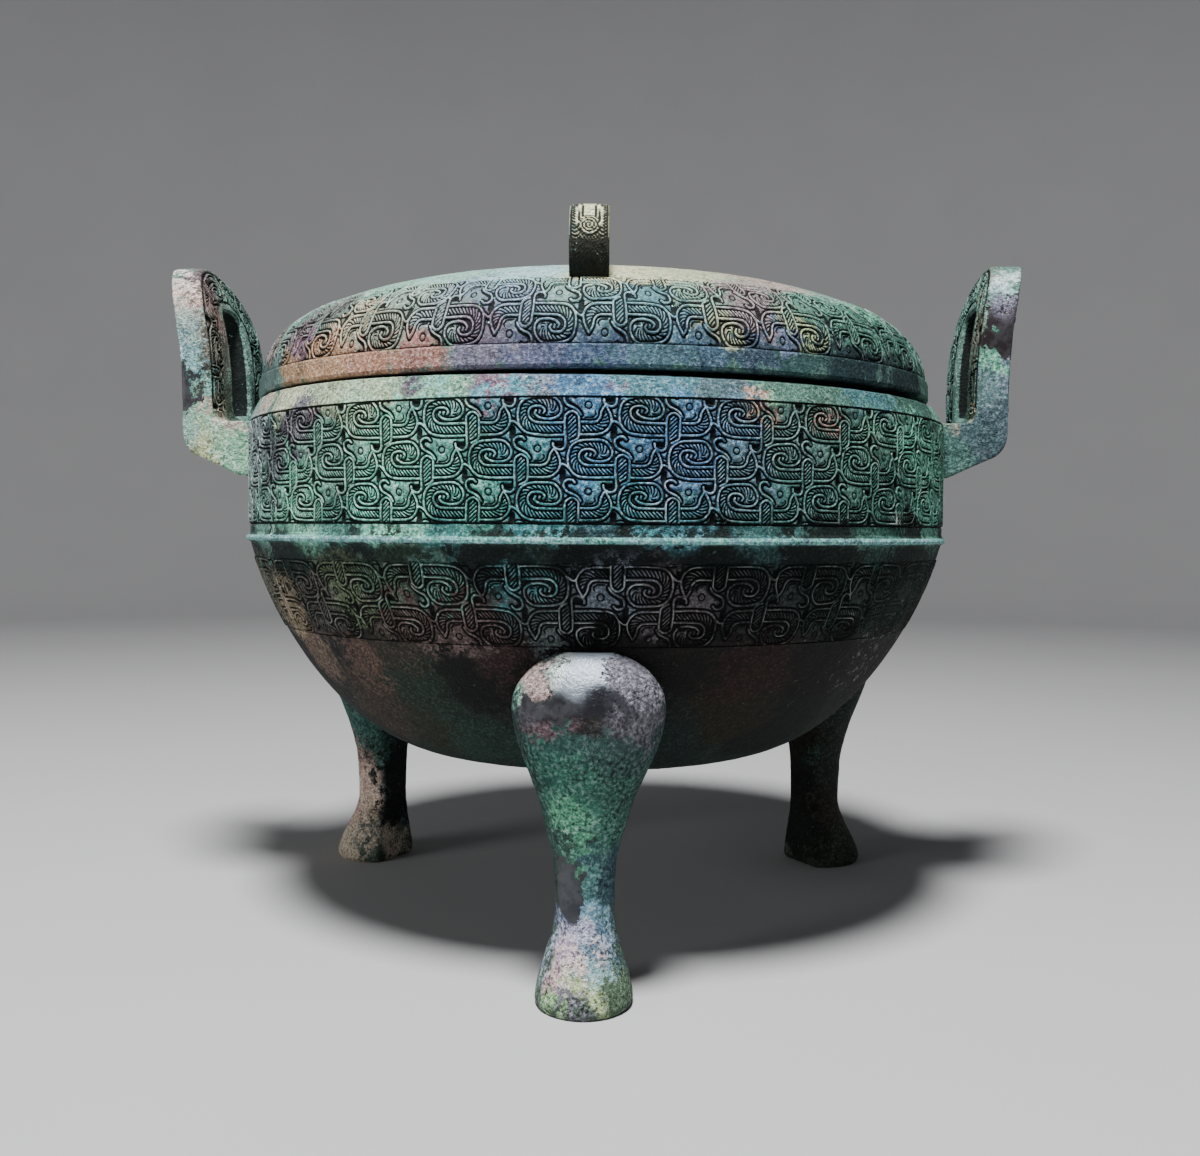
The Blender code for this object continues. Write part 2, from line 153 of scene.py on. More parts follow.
def finePath(points, gap):  # points added so that none are more than gap apart
    made = [points[0]]
    for start, end in zip(points, points[1:]):
        count = max(1, math.ceil(math.dist(start, end) / gap))
        made += [tuple(np.add(start, np.subtract(end, start) * i / count)) for i in range(1, count + 1)]
    return made


def finishEdit():  # faces outwards, then back to object mode
    selectAll()
    bpy.ops.mesh.normals_make_consistent(inside=False)
    setMode("OBJECT")


def turnedForm(name, profile, steps):  # profile of (radius, height), from axis to axis or closed
    piece = drawLine(name, [(radius, 0, height) for radius, height in profile])
    selectAll()
    bpy.ops.mesh.spin(steps=steps, angle=2 * math.pi, center=(0, 0, 0), axis=(0, 0, 1))
    selectAll()
    bpy.ops.mesh.remove_doubles(threshold=1e-6)
    finishEdit()
    return piece


def prism(name, outline, direction):  # an outline in millimetres, filled and drawn out
    piece = drawLine(name, outline)
    selectAll()
    bpy.ops.mesh.edge_face_add()
    bpy.ops.mesh.extrude_region_move(TRANSFORM_OT_translate={"value": np.array(direction) * mm})
    finishEdit()
    return piece


def addModifier(piece, kind, **settings):  # a modifier, applied
    pick(piece)
    modifier = piece.modifiers.new(kind.lower(), kind)
    for name, value in settings.items():
        setattr(modifier, name, value)
    bpy.ops.object.modifier_apply(modifier=modifier.name)


def cutWith(piece, cutter, operation):
    addModifier(piece, "BOOLEAN", operation=operation, object=cutter, solver="EXACT")
    bpy.data.objects.remove(cutter, do_unlink=True)


def roughen(piece, height, size, seed):  # the uneven, pitted crust; millimetres
    points = readPoints(piece)
    swell = layeredNoise(points, size * mm, 3, seed)
    pits = fade(layeredNoise(points, 2.2 * size * mm, 3, seed + 20), -0.32, -0.5)
    points += readPoints(piece, "normal") * (height * mm * (swell - pits))[:, None]
    writePoints(piece, points)


# Camera: at the photograph's viewpoint

cameraView = dict(
    distance=0.464, height=0.136, yaw=2.5, roll=0.36, sensor=36,
    focal=1247.0, frame=(1200, 1156), axisColumn=595.7, horizonRow=531.5,  # in pixels of the photograph's frame
)

cameraData = bpy.data.cameras.new("camera")
camera = bpy.data.objects.new("camera", cameraData)
bpy.context.scene.collection.objects.link(camera)
cameraData.sensor_fit = "HORIZONTAL"
cameraData.sensor_width = cameraView["sensor"]
cameraData.lens = cameraView["focal"] * cameraView["sensor"] / cameraView["frame"][0]
cameraData.clip_start = 0.01
cameraPitch = math.atan2(cameraView["frame"][1] / 2 - cameraView["horizonRow"], cameraView["focal"])
cameraAside = math.atan2(cameraView["frame"][0] / 2 - cameraView["axisColumn"], cameraView["focal"])
camera.matrix_world = (
    Matrix.Translation((*turnFlat(0, -cameraView["distance"], cameraView["yaw"]), cameraView["height"]))
    @ Matrix.Rotation(math.radians(cameraView["yaw"]) - cameraAside, 4, "Z")
    @ Matrix.Rotation(math.pi / 2 - cameraPitch, 4, "X")
    @ Matrix.Rotation(math.radians(cameraView["roll"]), 4, "Z")
)
bpy.context.scene.camera = camera


# Forms, as the solids have them

bowlShape = dict(
    wallRadius=124.0, bandTop=172.9, bandBottom=137.8, lowerTop=127.5, lowerBottom=102.9, wall=4.0, steps=420,
    belly=[(123.7, 131.8), (116.3, 103.7), (90.0, 57.45), (52.5, 57.3)],
    inside=[(120, 133.4), (120, 170.6), (110.1, 175.6), (110.1, 185.6), (110.6, 186.1), (112.6, 186.1),
            (113.1, 185.6), (113.1, 180.6), (120.1, 180.6), (120.9, 180.2), (121.5, 179.0)],
    rim=[(121.5, 179.0), (124, 173.2), (124, 172.9), (123, 172.7)], rimHeight=7.7, rimWear=2.1,
    ridge=[(123, 137.9), (124, 137.8), (124, 135.3), (124.4, 134.6), (125.1, 134.1), (125.3, 133.4),
           (125.1, 132.7), (124.4, 132.2), (123.8, 131.9)],
)
lidShape = dict(
    height=44.0, radius=118.8, power=2.13, bandInner=102.5, bandOuter=118.6, lift=180.9, shift=-1.1, turn=1.75,
    wall=4.0, steps=380, edge=[(114.8, 0.4), (115.2, 0), (118.7, 0), (119.5, 0.4), (119.9, 1.2)],
    strip=[(119.9, 1.2), (119.57, 6.3), (119.2, 6.9), (118.0, 7.1)],
)
channelDepth = 1.0  # how far the body is sunk behind a band of knotwork
bandSteps = 60


def bezier(corners, share):
    a, b, c, d = (np.array(corner) for corner in corners)
    s = np.asarray(share)[:, None]
    return a * (1 - s) ** 3 + 3 * b * s * (1 - s) ** 2 + 3 * c * s * s * (1 - s) + d * s**3


def domeHeight(radius):
    share = np.clip(np.asarray(radius) / lidShape["radius"], 0, 1)
    return lidShape["height"] * (1 - share ** lidShape["power"]) ** (1 / 3)


def domeRadius(height):
    return lidShape["radius"] * (1 - (height / lidShape["height"]) ** 3) ** (1 / lidShape["power"])


def lineNormals(line):  # to the outside of a line that runs down an outer side
    along = np.gradient(line, axis=0)
    along /= np.linalg.norm(along, axis=1)[:, None]
    return np.stack([-along[:, 1], along[:, 0]], 1)


def evenly(line, count):  # the line again, in count equal steps
    along = np.concatenate([[0], np.cumsum(np.linalg.norm(np.diff(line, axis=0), axis=1))])
    places = np.linspace(0, along[-1], count)
    return np.stack([np.interp(places, along, line[:, i]) for i in range(2)], 1)


bellyLine = bezier(bowlShape["belly"], np.linspace(0, 1, 600))


def bellyPart(top, bottom, count):  # the belly's line between two heights
    fine = bellyLine[(bellyLine[:, 1] <= top + 0.2) & (bellyLine[:, 1] >= bottom - 0.05)]
    return evenly(fine, count)


def bellyRadius(height):
    return np.interp(height, bellyLine[::-1, 1], bellyLine[::-1, 0])


upperLine = np.array([(bowlShape["wallRadius"], height)
                      for height in np.linspace(bowlShape["bandTop"], bowlShape["bandBottom"], bandSteps)])
lowerLine = bellyPart(bowlShape["lowerTop"], bowlShape["lowerBottom"], bandSteps)
domeTop = np.linspace(lidShape["bandInner"], lidShape["bandOuter"], 400)
lidLine = evenly(np.stack([domeTop, domeHeight(domeTop)], 1), bandSteps)


def placeLid(points):  # from the lid's own axis and edge to its place on the bowl; millimetres
    x, y = turnFlat(points[:, 0], points[:, 1], lidShape["turn"])
    return np.stack([x + lidShape["shift"], y, points[:, 2] + lidShape["lift"]], 1)


# Knotwork: one repeat drawn as a height map, thinned, then laid round each band

knotwork = dict(
    pitch=27.8, row=11.7, step=0.174,  # millimetres: a unit's length and height, and the grid it is drawn on
    ridgeHalf=0.29, crestLow=0.45, moat=0.26, moatEdge=(0.14, 0.36),  # an outline, and the furrow along it
    ribPitch=1.16, ribSlant=-1.0, ribbonEdge=(0.85, 1.1), pitEdge=(0.5, 1.2), grooveEdge=(0.4, 1.5), cut=0.5,
    field=0.66, groove=0.02, pit=-0.3, borderEdge=(0.25, 0.8), closeEdge=(0.1, 0.42),
    depth=1.3, sunk=0.7,  # millimetres from 0 to 1, and how far 0 lies under the plain surface
    corroded=0.09, wander=0.3,  # millimetres: how uneven the lines are in height, and how far they stray
)
knotRidges = dict(  # raised outlines: x along the band, y down from the top of a row
    spiralOutside=[(12.65, 10.6), (7.3, 10.6), (2.9, 10.1), (0.73, 8.4), (0.05, 6.0), (0.25, 3.5),
                   (1.2, 1.6), (3.4, 0.5), (6.8, 0.2), (9.7, 0.35), (11.4, 1.6), (12.2, 3.5),
                   (11.7, 5.2), (10.2, 6.05), (7.8, 6.2), (5.9, 5.7), (4.9, 4.8), (5.2, 4.0)],
    spiralInside=[(12.65, 7.3), (8.8, 7.3), (5.1, 7.1), (3.5, 6.0), (3.1, 4.5), (3.8, 3.2),
                  (5.4, 2.75), (7.0, 3.1), (7.7, 4.0), (7.3, 4.7)],
    strapLoop=[(14.6, 12.6), (16.5, 11.6), (16.85, 10.0), (16.85, 6.5), (16.5, 5.1), (15.0, 4.3),
               (13.5, 5.1), (13.1, 6.5), (13.1, 10.0), (13.25, 13.2), (12.5, 14.4), (11.2, 14.5),
               (10.0, 13.7), (9.8, 12.7)],
    headUnder=[(17.3, 10.5), (21.4, 10.45), (23.6, 10.0), (25.1, 8.7), (25.75, 7.3), (26.3, 6.9),
               (27.2, 7.2), (28.2, 8.0)],
    headJaw=[(17.5, 7.15), (20.4, 7.2), (21.9, 6.8), (22.7, 5.7), (22.9, 4.5), (23.4, 3.5), (24.1, 2.5)],
    leafBack=[(24.1, 2.5), (24.95, 4.0), (25.6, 5.6), (25.75, 7.2)],
    snout=[(17.4, 5.3), (16.5, 4.0), (15.1, 3.2), (13.6, 2.45), (12.9, 1.2), (13.0, 0.1),
           (13.9, -0.6), (15.1, -0.6), (15.9, 0.1)],
)
knotRibbons = dict(  # ribbed bands between the outlines, with their half widths
    spiral=([(12.65, 8.95), (8.0, 8.95), (4.5, 8.5), (2.3, 7.3), (1.55, 5.5), (1.95, 3.6), (3.2, 2.2),
             (5.5, 1.5), (8.0, 1.7), (9.7, 2.7), (10.1, 4.0), (9.2, 5.0), (8.2, 4.9)],
            [1.2, 1.2, 1.25, 1.3, 1.2, 1.1, 1.0, 0.9, 0.95, 1.1, 1.15, 0.8, 0.1]),
    head=([(17.3, 8.85), (20.5, 8.85), (22.9, 8.1), (24.2, 6.4), (24.3, 4.8), (24.1, 3.0)],
          [1.2, 1.2, 1.3, 1.3, 0.9, 0.1]),
    strap=([(15.0, 5.4), (15.0, 8.0), (15.0, 10.5), (14.7, 12.2)], [1.1, 1.15, 1.15, 0.3]),
    link=([(25.7, 5.9), (26.8, 5.6), (28.1, 5.4)], [0.8, 0.8, 0.8]),
)
knotGrooves = dict(
    lip=([(17.9, 4.7), (16.6, 3.1), (15.2, 2.3), (14.0, 1.5), (14.0, 0.6), (14.9, 0.2)], 0.22),
    cheek=([(18.6, 6.0), (20.4, 5.9), (21.4, 5.1), (21.1, 4.3)], 0.2),
    eye=([(19.5 + 0.95 * math.cos(turn), 2.6 + 0.95 * math.sin(turn)) for turn in np.arange(9) * math.pi / 4], 0.2),
)
knotPits = dict(
    slit=([(10.6, 12.9), (12.2, 12.95)], 0.75),
    gusset=([(26.4, 8.9), (26.4, 9.6), (26.3, 11.0)], 0.85),
)


def smoothCurve(points, step=0.15):  # a Catmull-Rom curve, evenly sampled, and the way along it
    p = np.array(points, float)
    p = np.vstack([2 * p[0] - p[1], p, 2 * p[-1] - p[-2]])
    t = np.linspace(0, 1, 12, endpoint=False)[:, None]
    parts = []
    for i in range(1, len(p) - 2):
        a, b, c, d = p[i - 1:i + 3]
        square, cube = 2 * a - 5 * b + 4 * c - d, 3 * b - a - 3 * c + d
        parts.append(0.5 * (2 * b + (c - a) * t + square * t**2 + cube * t**3))
    parts.append(p[-2][None])
    curve = np.vstack(parts)
    along = np.concatenate([[0], np.cumsum(np.hypot(*np.diff(curve, axis=0).T))])
    places = np.linspace(0, along[-1], max(int(along[-1] / step), 2))
    return np.stack([np.interp(places, along, curve[:, i]) for i in range(2)], 1), places


def nearCurve(x, y, curve, along, wrap):  # distance, way along, and side of the curve
    best = np.full(x.shape, 1e9)
    way, side = np.zeros(x.shape), np.zeros(x.shape)
    for k in range(len(curve) - 1):
        start, run = curve[k], curve[k + 1] - curve[k]
        length = math.hypot(*run)
        middle = (curve[k][0] + curve[k + 1][0]) / 2
        dx = x - start[0]
        if wrap:
            dx = (x - middle + wrap / 2) % wrap - wrap / 2 + middle - start[0]
        dy = y - start[1]
        t = np.clip((dx * run[0] + dy * run[1]) / length**2, 0, 1)
        distance = np.hypot(dx - t * run[0], dy - t * run[1])
        closer = distance < best
        best[closer] = distance[closer]
        way[closer] = (along[k] + t * length)[closer]
        side[closer] = np.sign(run[0] * dy - run[1] * dx)[closer]
    return best, way, side


def knotHeights(x, y, rows, firstRow):
    k = knotwork
    ridge = np.full(x.shape, 9.0)  # far from any outline
    hatch, rib, pit, cut = (np.zeros(x.shape) for _ in range(4))
    for row in range(firstRow, rows + 1):
        lines = np.where((y[:, 0] - row * k["row"] > -2) & (y[:, 0] - row * k["row"] < 16))[0]
        if not len(lines):
            continue
        part = slice(lines[0], lines[-1] + 1)
        rx, ry = x[part] - row % 2 * k["pitch"] / 2, y[part] - row * k["row"]
        for points, widths in knotRibbons.values():
            curve, along = smoothCurve(points)
            distance, way, side = nearCurve(rx, ry, curve, along, k["pitch"])
            half = np.interp(way / along[-1], np.linspace(0, 1, len(widths)), widths)
            inside = fade(distance / np.maximum(half, 0.05), *k["ribbonEdge"])
            wave = 0.5 + 0.5 * np.cos(2 * math.pi * (way + k["ribSlant"] * distance * side) / k["ribPitch"])
            more = inside > hatch[part]
            rib[part][more] = wave[more]
            hatch[part] = np.maximum(hatch[part], inside)
        for layer, shapes, edge in ((pit, knotPits, "pitEdge"), (cut, knotGrooves, "grooveEdge")):
            for points, width in shapes.values():
                distance = nearCurve(rx, ry, *smoothCurve(points), k["pitch"])[0]
                layer[part] = np.maximum(layer[part], fade(distance, *np.multiply(width, k[edge])))
        for points in knotRidges.values():
            ridge[part] = np.minimum(ridge[part], nearCurve(rx, ry, *smoothCurve(points), k["pitch"])[0])
    height = k["field"] - k["cut"] * cut
    height = height * (1 - hatch) + hatch * rib
    moat = fade(np.abs(ridge - k["ridgeHalf"] - k["moat"]), *k["moatEdge"])
    height = height * (1 - moat) + moat * np.minimum(height, k["groove"])
    height = height * (1 - pit) + pit * k["pit"]
    crest = k["crestLow"] + (1 - k["crestLow"]) * np.sqrt(np.clip(1 - (ridge / k["ridgeHalf"]) ** 2, 0, 1))
    top = fade(ridge, k["ridgeHalf"] * 0.9, k["ridgeHalf"] * 1.1)
    height = height * (1 - top) + top * crest
    start = fade(y, *k["borderEdge" if firstRow < 0 else "closeEdge"])
    edge = np.maximum(start, fade(rows * k["row"] - y, *k["borderEdge"]))
    return height * (1 - edge) + edge * k["groove"]


def knotTile(rows, triangles, firstRow=-1):
    size = (knotwork["pitch"], rows * knotwork["row"])
    x, y = np.meshgrid(*(np.linspace(0, side, round(side / knotwork["step"]) + 1) for side in size))
    height = knotHeights(x, y, rows, firstRow)
    points = np.stack([x.ravel(), y.ravel(), height.ravel() * knotwork["depth"]], 1)
    index = np.arange(points.shape[0]).reshape(x.shape)
    quads = np.stack([index[:-1, :-1], index[1:, :-1], index[1:, 1:], index[:-1, 1:]], -1).reshape(-1, 4)
    piece = meshPiece("knotTile", points, quads.tolist())
    group = piece.vertex_groups.new(name="inner")
    group.add(index[1:-1, 1:-1].ravel().tolist(), 1.0, "REPLACE")
    addModifier(piece, "DECIMATE", ratio=triangles / (2 * len(quads)), vertex_group="inner",
                vertex_group_factor=0.0001, use_collapse_triangulate=True)
    share = readPoints(piece) / (*size, knotwork["depth"])
    faces = np.array([tuple(face.vertices) for face in piece.data.polygons])
    bpy.data.objects.remove(piece, do_unlink=True)
    borders = {}
    for name, axis, value in (("left", 0, 0), ("right", 0, 1), ("top", 1, 0), ("bottom", 1, 1)):
        on = np.where(np.abs(share[:, axis] - value) < 1e-5)[0]
        borders[name] = on[np.argsort(share[on, 1 - axis])]
    print("knotwork tile", rows, "rows", len(faces), "triangles")
    return dict(points=share, faces=faces, rows=rows, **borders)


def layTiles(name, tile, copies, closed, place, back=1.5, backRows=3):
    # place(along in repeats, down 0 to 1, height in mm) gives points in mm; the sheet gets a back, so it is solid
    k = knotwork
    inner = np.setdiff1d(np.arange(len(tile["points"])), tile["right"])
    count, edgeCount = len(inner), len(tile["right"])
    order = np.empty(len(tile["points"]), int)
    order[inner] = np.arange(count)
    total = copies * count + (0 if closed else edgeCount)
    flat = np.empty((total, 3))
    faces = []
    for copy in range(copies):
        ids = order + copy * count
        ending = not closed and copy == copies - 1
        following = order[tile["left"]] + (copy + 1) % copies * count
        ids[tile["right"]] = copies * count + np.arange(edgeCount) if ending else following
        flat[ids[inner]] = tile["points"][inner] + (copy, 0, 0)
        if ending:
            flat[ids[tile["right"]]] = tile["points"][tile["right"]] + (copy, 0, 0)
        faces.append(ids[tile["faces"]])
    firstSide, lastSide = order[tile["left"]], ids[tile["right"]]
    faces = np.vstack(faces)
    lines = []
    for border, end in (("top", 0), ("bottom", -1)):
        line = np.concatenate([order[tile[border][:-1]] + copy * count for copy in range(copies)])
        lines.append(line if closed else np.append(line, lastSide[end]))
    ground = place(flat[:, 0], flat[:, 1], np.zeros(total))
    wear = wornDepth(ground)
    height = (flat[:, 2] * k["depth"] - k["sunk"]) * wear + k["corroded"] * layeredNoise(ground, 1.7, 2, 15)
    held = np.clip(np.minimum(flat[:, 1], 1 - flat[:, 1]) * 8, 0, 1)  # nothing strays at the borders
    if not closed:
        held = held * np.clip(np.minimum(flat[:, 0], copies - flat[:, 0]) * 8, 0, 1)
    along = flat[:, 0] + k["wander"] / k["pitch"] * held * layeredNoise(ground, 8, 2, 25)
    down = flat[:, 1] + k["wander"] / k["row"] / tile["rows"] * held * layeredNoise(ground, 8, 2, 35)
    points = place(along, down, height)
    a, b, c = points[faces[0]]
    outwards = place(along, down, height + 1)[faces[0][0]] - a
    flip = np.dot(np.cross(b - a, c - a), outwards) < 0
    polygons = (faces[:, ::-1] if flip else faces).tolist()
    stride = 8  # the back has one column for so many points of the front's edge
    last = len(lines[0]) - 1
    picked = np.arange(0, last + 1, stride)
    if not closed:
        picked = np.append(picked[:-1] if last - picked[-1] < stride / 2 else picked, last)
    columns = len(picked)
    along = flat[lines[0][picked], 0]
    backs = [place(along, np.full(columns, row / backRows), np.full(columns, -back)) for row in range(backRows + 1)]
    rows = [total + row * columns + np.arange(columns) for row in range(backRows + 1)]

    def addFace(corners, over=False):
        corners = [int(corner) for corner in corners]
        polygons.append(corners[::-1] if over != flip else corners)

    for column in range(columns if closed else columns - 1):
        following = (column + 1) % columns
        for line, row, over in ((lines[0], rows[0], False), (lines[1], rows[-1], True)):
            end = picked[column + 1] if column + 1 < columns else len(line)
            run = [line[i % len(line)] for i in range(picked[column], end + 1)]
            addFace(run + [row[following], row[column]], over)
        for upper, lower in zip(rows, rows[1:]):
            addFace([upper[column], upper[following], lower[following], lower[column]])
    if not closed:
        for side, column, over in ((firstSide, 0, False), (lastSide, columns - 1, True)):
            addFace([*side] + [row[column] for row in rows[::-1]], over)
    piece = meshPiece(name, np.vstack([points] + backs) * mm, polygons)
    relief = 0.5 + (flat[:, 2] - 0.5) * np.clip(wear + 0.16, 0, 1.1)  # 0 in the grooves, 1 on the crests
    writeLayer(piece, "relief", np.append(relief, np.zeros((backRows + 1) * columns)))
    pick(piece)
    bpy.ops.object.shade_smooth()
    print(name, len(piece.data.vertices), "points")
    return piece


castingWear = dict(mean=0.95, swing=0.16, rubbed=0.35, silted=0.42, siltPlace=(100, -52, 108), siltReach=(16, 42))


def wornDepth(points):  # the casting is crisper in some places than in others, and silted up in a few
    k = castingWear
    away = np.linalg.norm(points - k["siltPlace"], axis=1)  # from the right end of the lower band
    rubbed = fade(layeredNoise(points, 16, 3, 9), -0.35, -0.6)
    crisp = k["mean"] + k["swing"] * layeredNoise(points, 30, 2, 5)
    return crisp - k["rubbed"] * rubbed - k["silted"] * fade(away, *k["siltReach"])


def roundBand(line, firstAzimuth, sense, units, lid=False):
    normals = lineNormals(line)
    steps = np.linspace(0, 1, len(line))

    def place(along, down, height):
        down = down if sense > 0 else 1 - down
        angle = np.radians(firstAzimuth + sense * along * 360 / units)
        radius, level = (np.interp(down, steps, line[:, i]) for i in range(2))
        out, up = (np.interp(down, steps, normals[:, i]) for i in range(2))
        radius, level = radius + out * height, level + up * height
        points = np.stack([radius * np.cos(angle), radius * np.sin(angle), level], 1)
        return placeLid(points) if lid else points
    return place


unitsRound = dict(upper=28, lower=26, lid=28)
upperTile = knotTile(3, 10400)
narrowTile = knotTile(2, 5000, 0)
handleTile = knotTile(1, 2500)

bandPieces = [
    layTiles("upperKnotwork" + name, upperTile, unitsRound["upper"] // 2, False,
             roundBand(upperLine, azimuth, 1, unitsRound["upper"]))
    for name, azimuth in (("Rear", 5.3), ("Front", -174.7))
]
bandPieces.append(layTiles("lowerKnotwork", narrowTile, unitsRound["lower"], True,
                           roundBand(lowerLine, -84.1, -1, unitsRound["lower"])))
lidBand = layTiles("lidKnotwork", narrowTile, unitsRound["lid"], True,
                   roundBand(lidLine, -78.7, -1, unitsRound["lid"], True), back=1.3)
print("knotwork laid")


# Bowl: turned in one piece, hollow, with the channels that the knotwork lies in

def pairs(line):
    return [tuple(point) for point in line]


def sunkLine(line):  # a channel's floor, in few steps
    return (line - channelDepth * lineNormals(line))[::-12]


def bowlOutline():
    k = bowlShape
    (mouth, mouthHeight), (foot, footHeight) = k["belly"][0], k["belly"][-1]
    floorInside = finePath([(0, footHeight + k["wall"]), (foot, footHeight + k["wall"])], 14)
    insideBelly = pairs(evenly(bellyLine - k["wall"] * lineNormals(bellyLine), 16))
    bellyStrip = pairs(bellyPart(mouthHeight, k["lowerTop"], 5))
    bellyFloor = pairs(bellyPart(k["lowerBottom"], footHeight, 48))
    return (
        floorInside[:-1] + insideBelly[:0:-1] + finePath(k["inside"], 8) + finePath(k["rim"], 1.6)[1:]
        + pairs(sunkLine(upperLine)[::-1])[1:] + finePath(k["ridge"], 0.9) + bellyStrip[1:]
        + pairs(sunkLine(lowerLine)[::-1]) + bellyFloor + finePath([bellyFloor[-1], (0, footHeight)], 6)[1:]
    )


def wearRim(points):  # the rim is worn down towards the right, which leaves a gap under the lid
    k = bowlShape
    x, y, z = points.T
    worn = 0.15 + 0.85 * (1 - fade(x, -100, 70))
    worn = k["rimWear"] * worn * np.clip((np.hypot(x, y) - 116.5) / 2.5, 0, 1)
    lowered = k["bandTop"] + (z - k["bandTop"]) * (1 - worn / k["rimHeight"])
    return np.stack([x, y, np.where(z > k["bandTop"], lowered, z)], 1)


bowl = turnedForm("bowl", bowlOutline(), bowlShape["steps"])
writePoints(bowl, wearRim(readPoints(bowl) / mm) * mm)
roughen(bowl, 0.13, 2.6, 3)
print("bowl turned", len(bowl.data.polygons))


# Lid: a low dome with a plain rim strip

domeOutside = [(r, float(domeHeight(r))) for r in np.linspace(lidShape["bandInner"] - 0.3, 0, 44)]
domeRun = (lidShape["radius"] - 0.01) * np.sin(np.linspace(0, math.pi / 2, 400))
fullDome = np.stack([domeRun, domeHeight(domeRun)], 1)
insideDome = evenly(fullDome - lidShape["wall"] * lineNormals(fullDome), 22)
insideDome[0] = (0, insideDome[1][1])
lidOutline = (pairs(insideDome) + lidShape["edge"] + finePath(lidShape["strip"], 1.4)[1:]
              + pairs(sunkLine(lidLine)) + domeOutside)
lid = turnedForm("lidDome", lidOutline, lidShape["steps"])
writePoints(lid, placeLid(readPoints(lid) / mm) * mm)
roughen(lid, 0.12, 2.4, 8)
print("lid turned", len(lid.data.polygons))


# Handles: an upright slotted plate on a short arm, one at each side

handleShape = dict(
    halfWidth=28.0, thickness=11.0, reach=144.2, turn=-2.5, flares=dict(right=8.7, left=11.5), top=232.8,
    root=117.5, armTop=174.3, armDrop=19.2, corner=9.0, cornerCentre=(135.2, 169.9), fillet=2.5, archCentre=204.8,
    slots=dict(left=(-10.6, 7.3), right=(-10.6, 10.6)), slotTop=217.0, slotBottom=177.5, slotRound=5.0,
    strip=11.6, stripPlace=21.2, stripStart=178.0, repeats=4, sink=0.9, bowlSide=121.5, voxel=0.75, triangles=22000,
)
plainRelief = 0.66  # between the grooves' 0 and the crests' 1


def arc(centre, radius, start, end, count):
    return [(centre[0] + radius * math.cos(math.radians(a)), centre[1] + radius * math.sin(math.radians(a)))
            for a in np.linspace(start, end, count)]


def handleLean(z, side):
    h = handleShape
    return h["flares"][side] * (np.clip(z - h["armTop"], 0, None) / (h["top"] - h["armTop"])) ** 3


def setHandle(points, side):  # from the straight right-hand plate to its lean, askew turn and side
    h = handleShape
    x, y, z = points.T
    x, y = turnFlat(x + handleLean(z, side) - h["reach"], y, h["turn"])
    x = x + h["reach"]
    return np.stack([-x, -y, z] if side == "left" else [x, y, z], 1)


def cutAcross(plate, outline, operation):  # with a bar of this outline, along X
    cutWith(plate, prism("cutter", [(100, y, z) for y, z in outline], (80, 0, 0)), operation)


def handlePiece(side):
    h = handleShape
    half, bend, r = h["halfWidth"], h["fillet"], h["slotRound"]
    under, inner = h["armTop"] - h["armDrop"], h["reach"] - h["thickness"]
    outline = (
        [(h["root"], under - 1), (bowlShape["wallRadius"], under)] + arc(h["cornerCentre"], h["corner"], -75, 0, 7)
        + [(h["reach"], h["top"] + 4), (inner, h["top"] + 4)]
        + arc((inner - bend, h["armTop"] + bend), bend, 0, -90, 5) + [(h["root"], h["armTop"])]
    )
    plate = prism(side + "Handle", [(x, -half, z) for x, z in outline], (0, 2 * half, 0))
    cutAcross(plate, [(-half, 140), (half, 140)] + arc((0, h["archCentre"]), half, 0, 180, 41), "INTERSECT")
    left, right = h["slots"][side]
    low, high = h["slotBottom"], h["slotTop"]
    corners = (((right - r, low + r), -90), ((right - r, high - r), 0), ((left + r, high - r), 90),
               ((left + r, low + r), 180))
    slot = [point for centre, start in corners for point in arc(centre, r, start, start + 90, 6)]
    cutAcross(plate, slot, "DIFFERENCE")
    addModifier(plate, "REMESH", mode="VOXEL", voxel_size=h["voxel"] * mm)
    addModifier(plate, "SMOOTH", factor=0.5, iterations=4)
    x, y, z = (readPoints(plate) / mm).T
    fromMiddle = np.where(z < h["archCentre"], np.abs(y), np.hypot(y, z - h["archCentre"]))
    fromStrip, edge = np.abs(fromMiddle - h["stripPlace"]), h["strip"] / 2
    sink = h["sink"] * fade(fromStrip, edge - 0.9, edge - 0.2)  # the channel that the strip lies in
    sink = sink * fade(z, h["stripStart"] + 1.2, h["stripStart"] + 0.4)
    x = x + np.where(x > h["reach"] - h["thickness"] / 2, -sink, sink) * (x > inner - 1)
    shadedSlot = (y > left - 0.5) & (y < right + 0.5) & (z > low + 2) & (z < high + 0.5)
    shadedSlot &= (x > inner + 1.9) & (x < h["reach"] - 0.8)  # painted shade: black deep in the slot, where its far side lies in shadow
    writeLayer(plate, "relief", np.where(shadedSlot, 0, plainRelief))
    away = np.hypot(x, y)
    push = np.where(away < h["bowlSide"], h["bowlSide"] / away, 1)  # the arm ends inside the bowl's wall
    writePoints(plate, setHandle(np.stack([x * push, y * push, z], 1), side) * mm)
    roughen(plate, 0.16, 3.0, 31 if side == "left" else 47)
    addModifier(plate, "DECIMATE", ratio=h["triangles"] / (2 * len(plate.data.polygons)))
    bpy.ops.object.shade_smooth()
    return plate


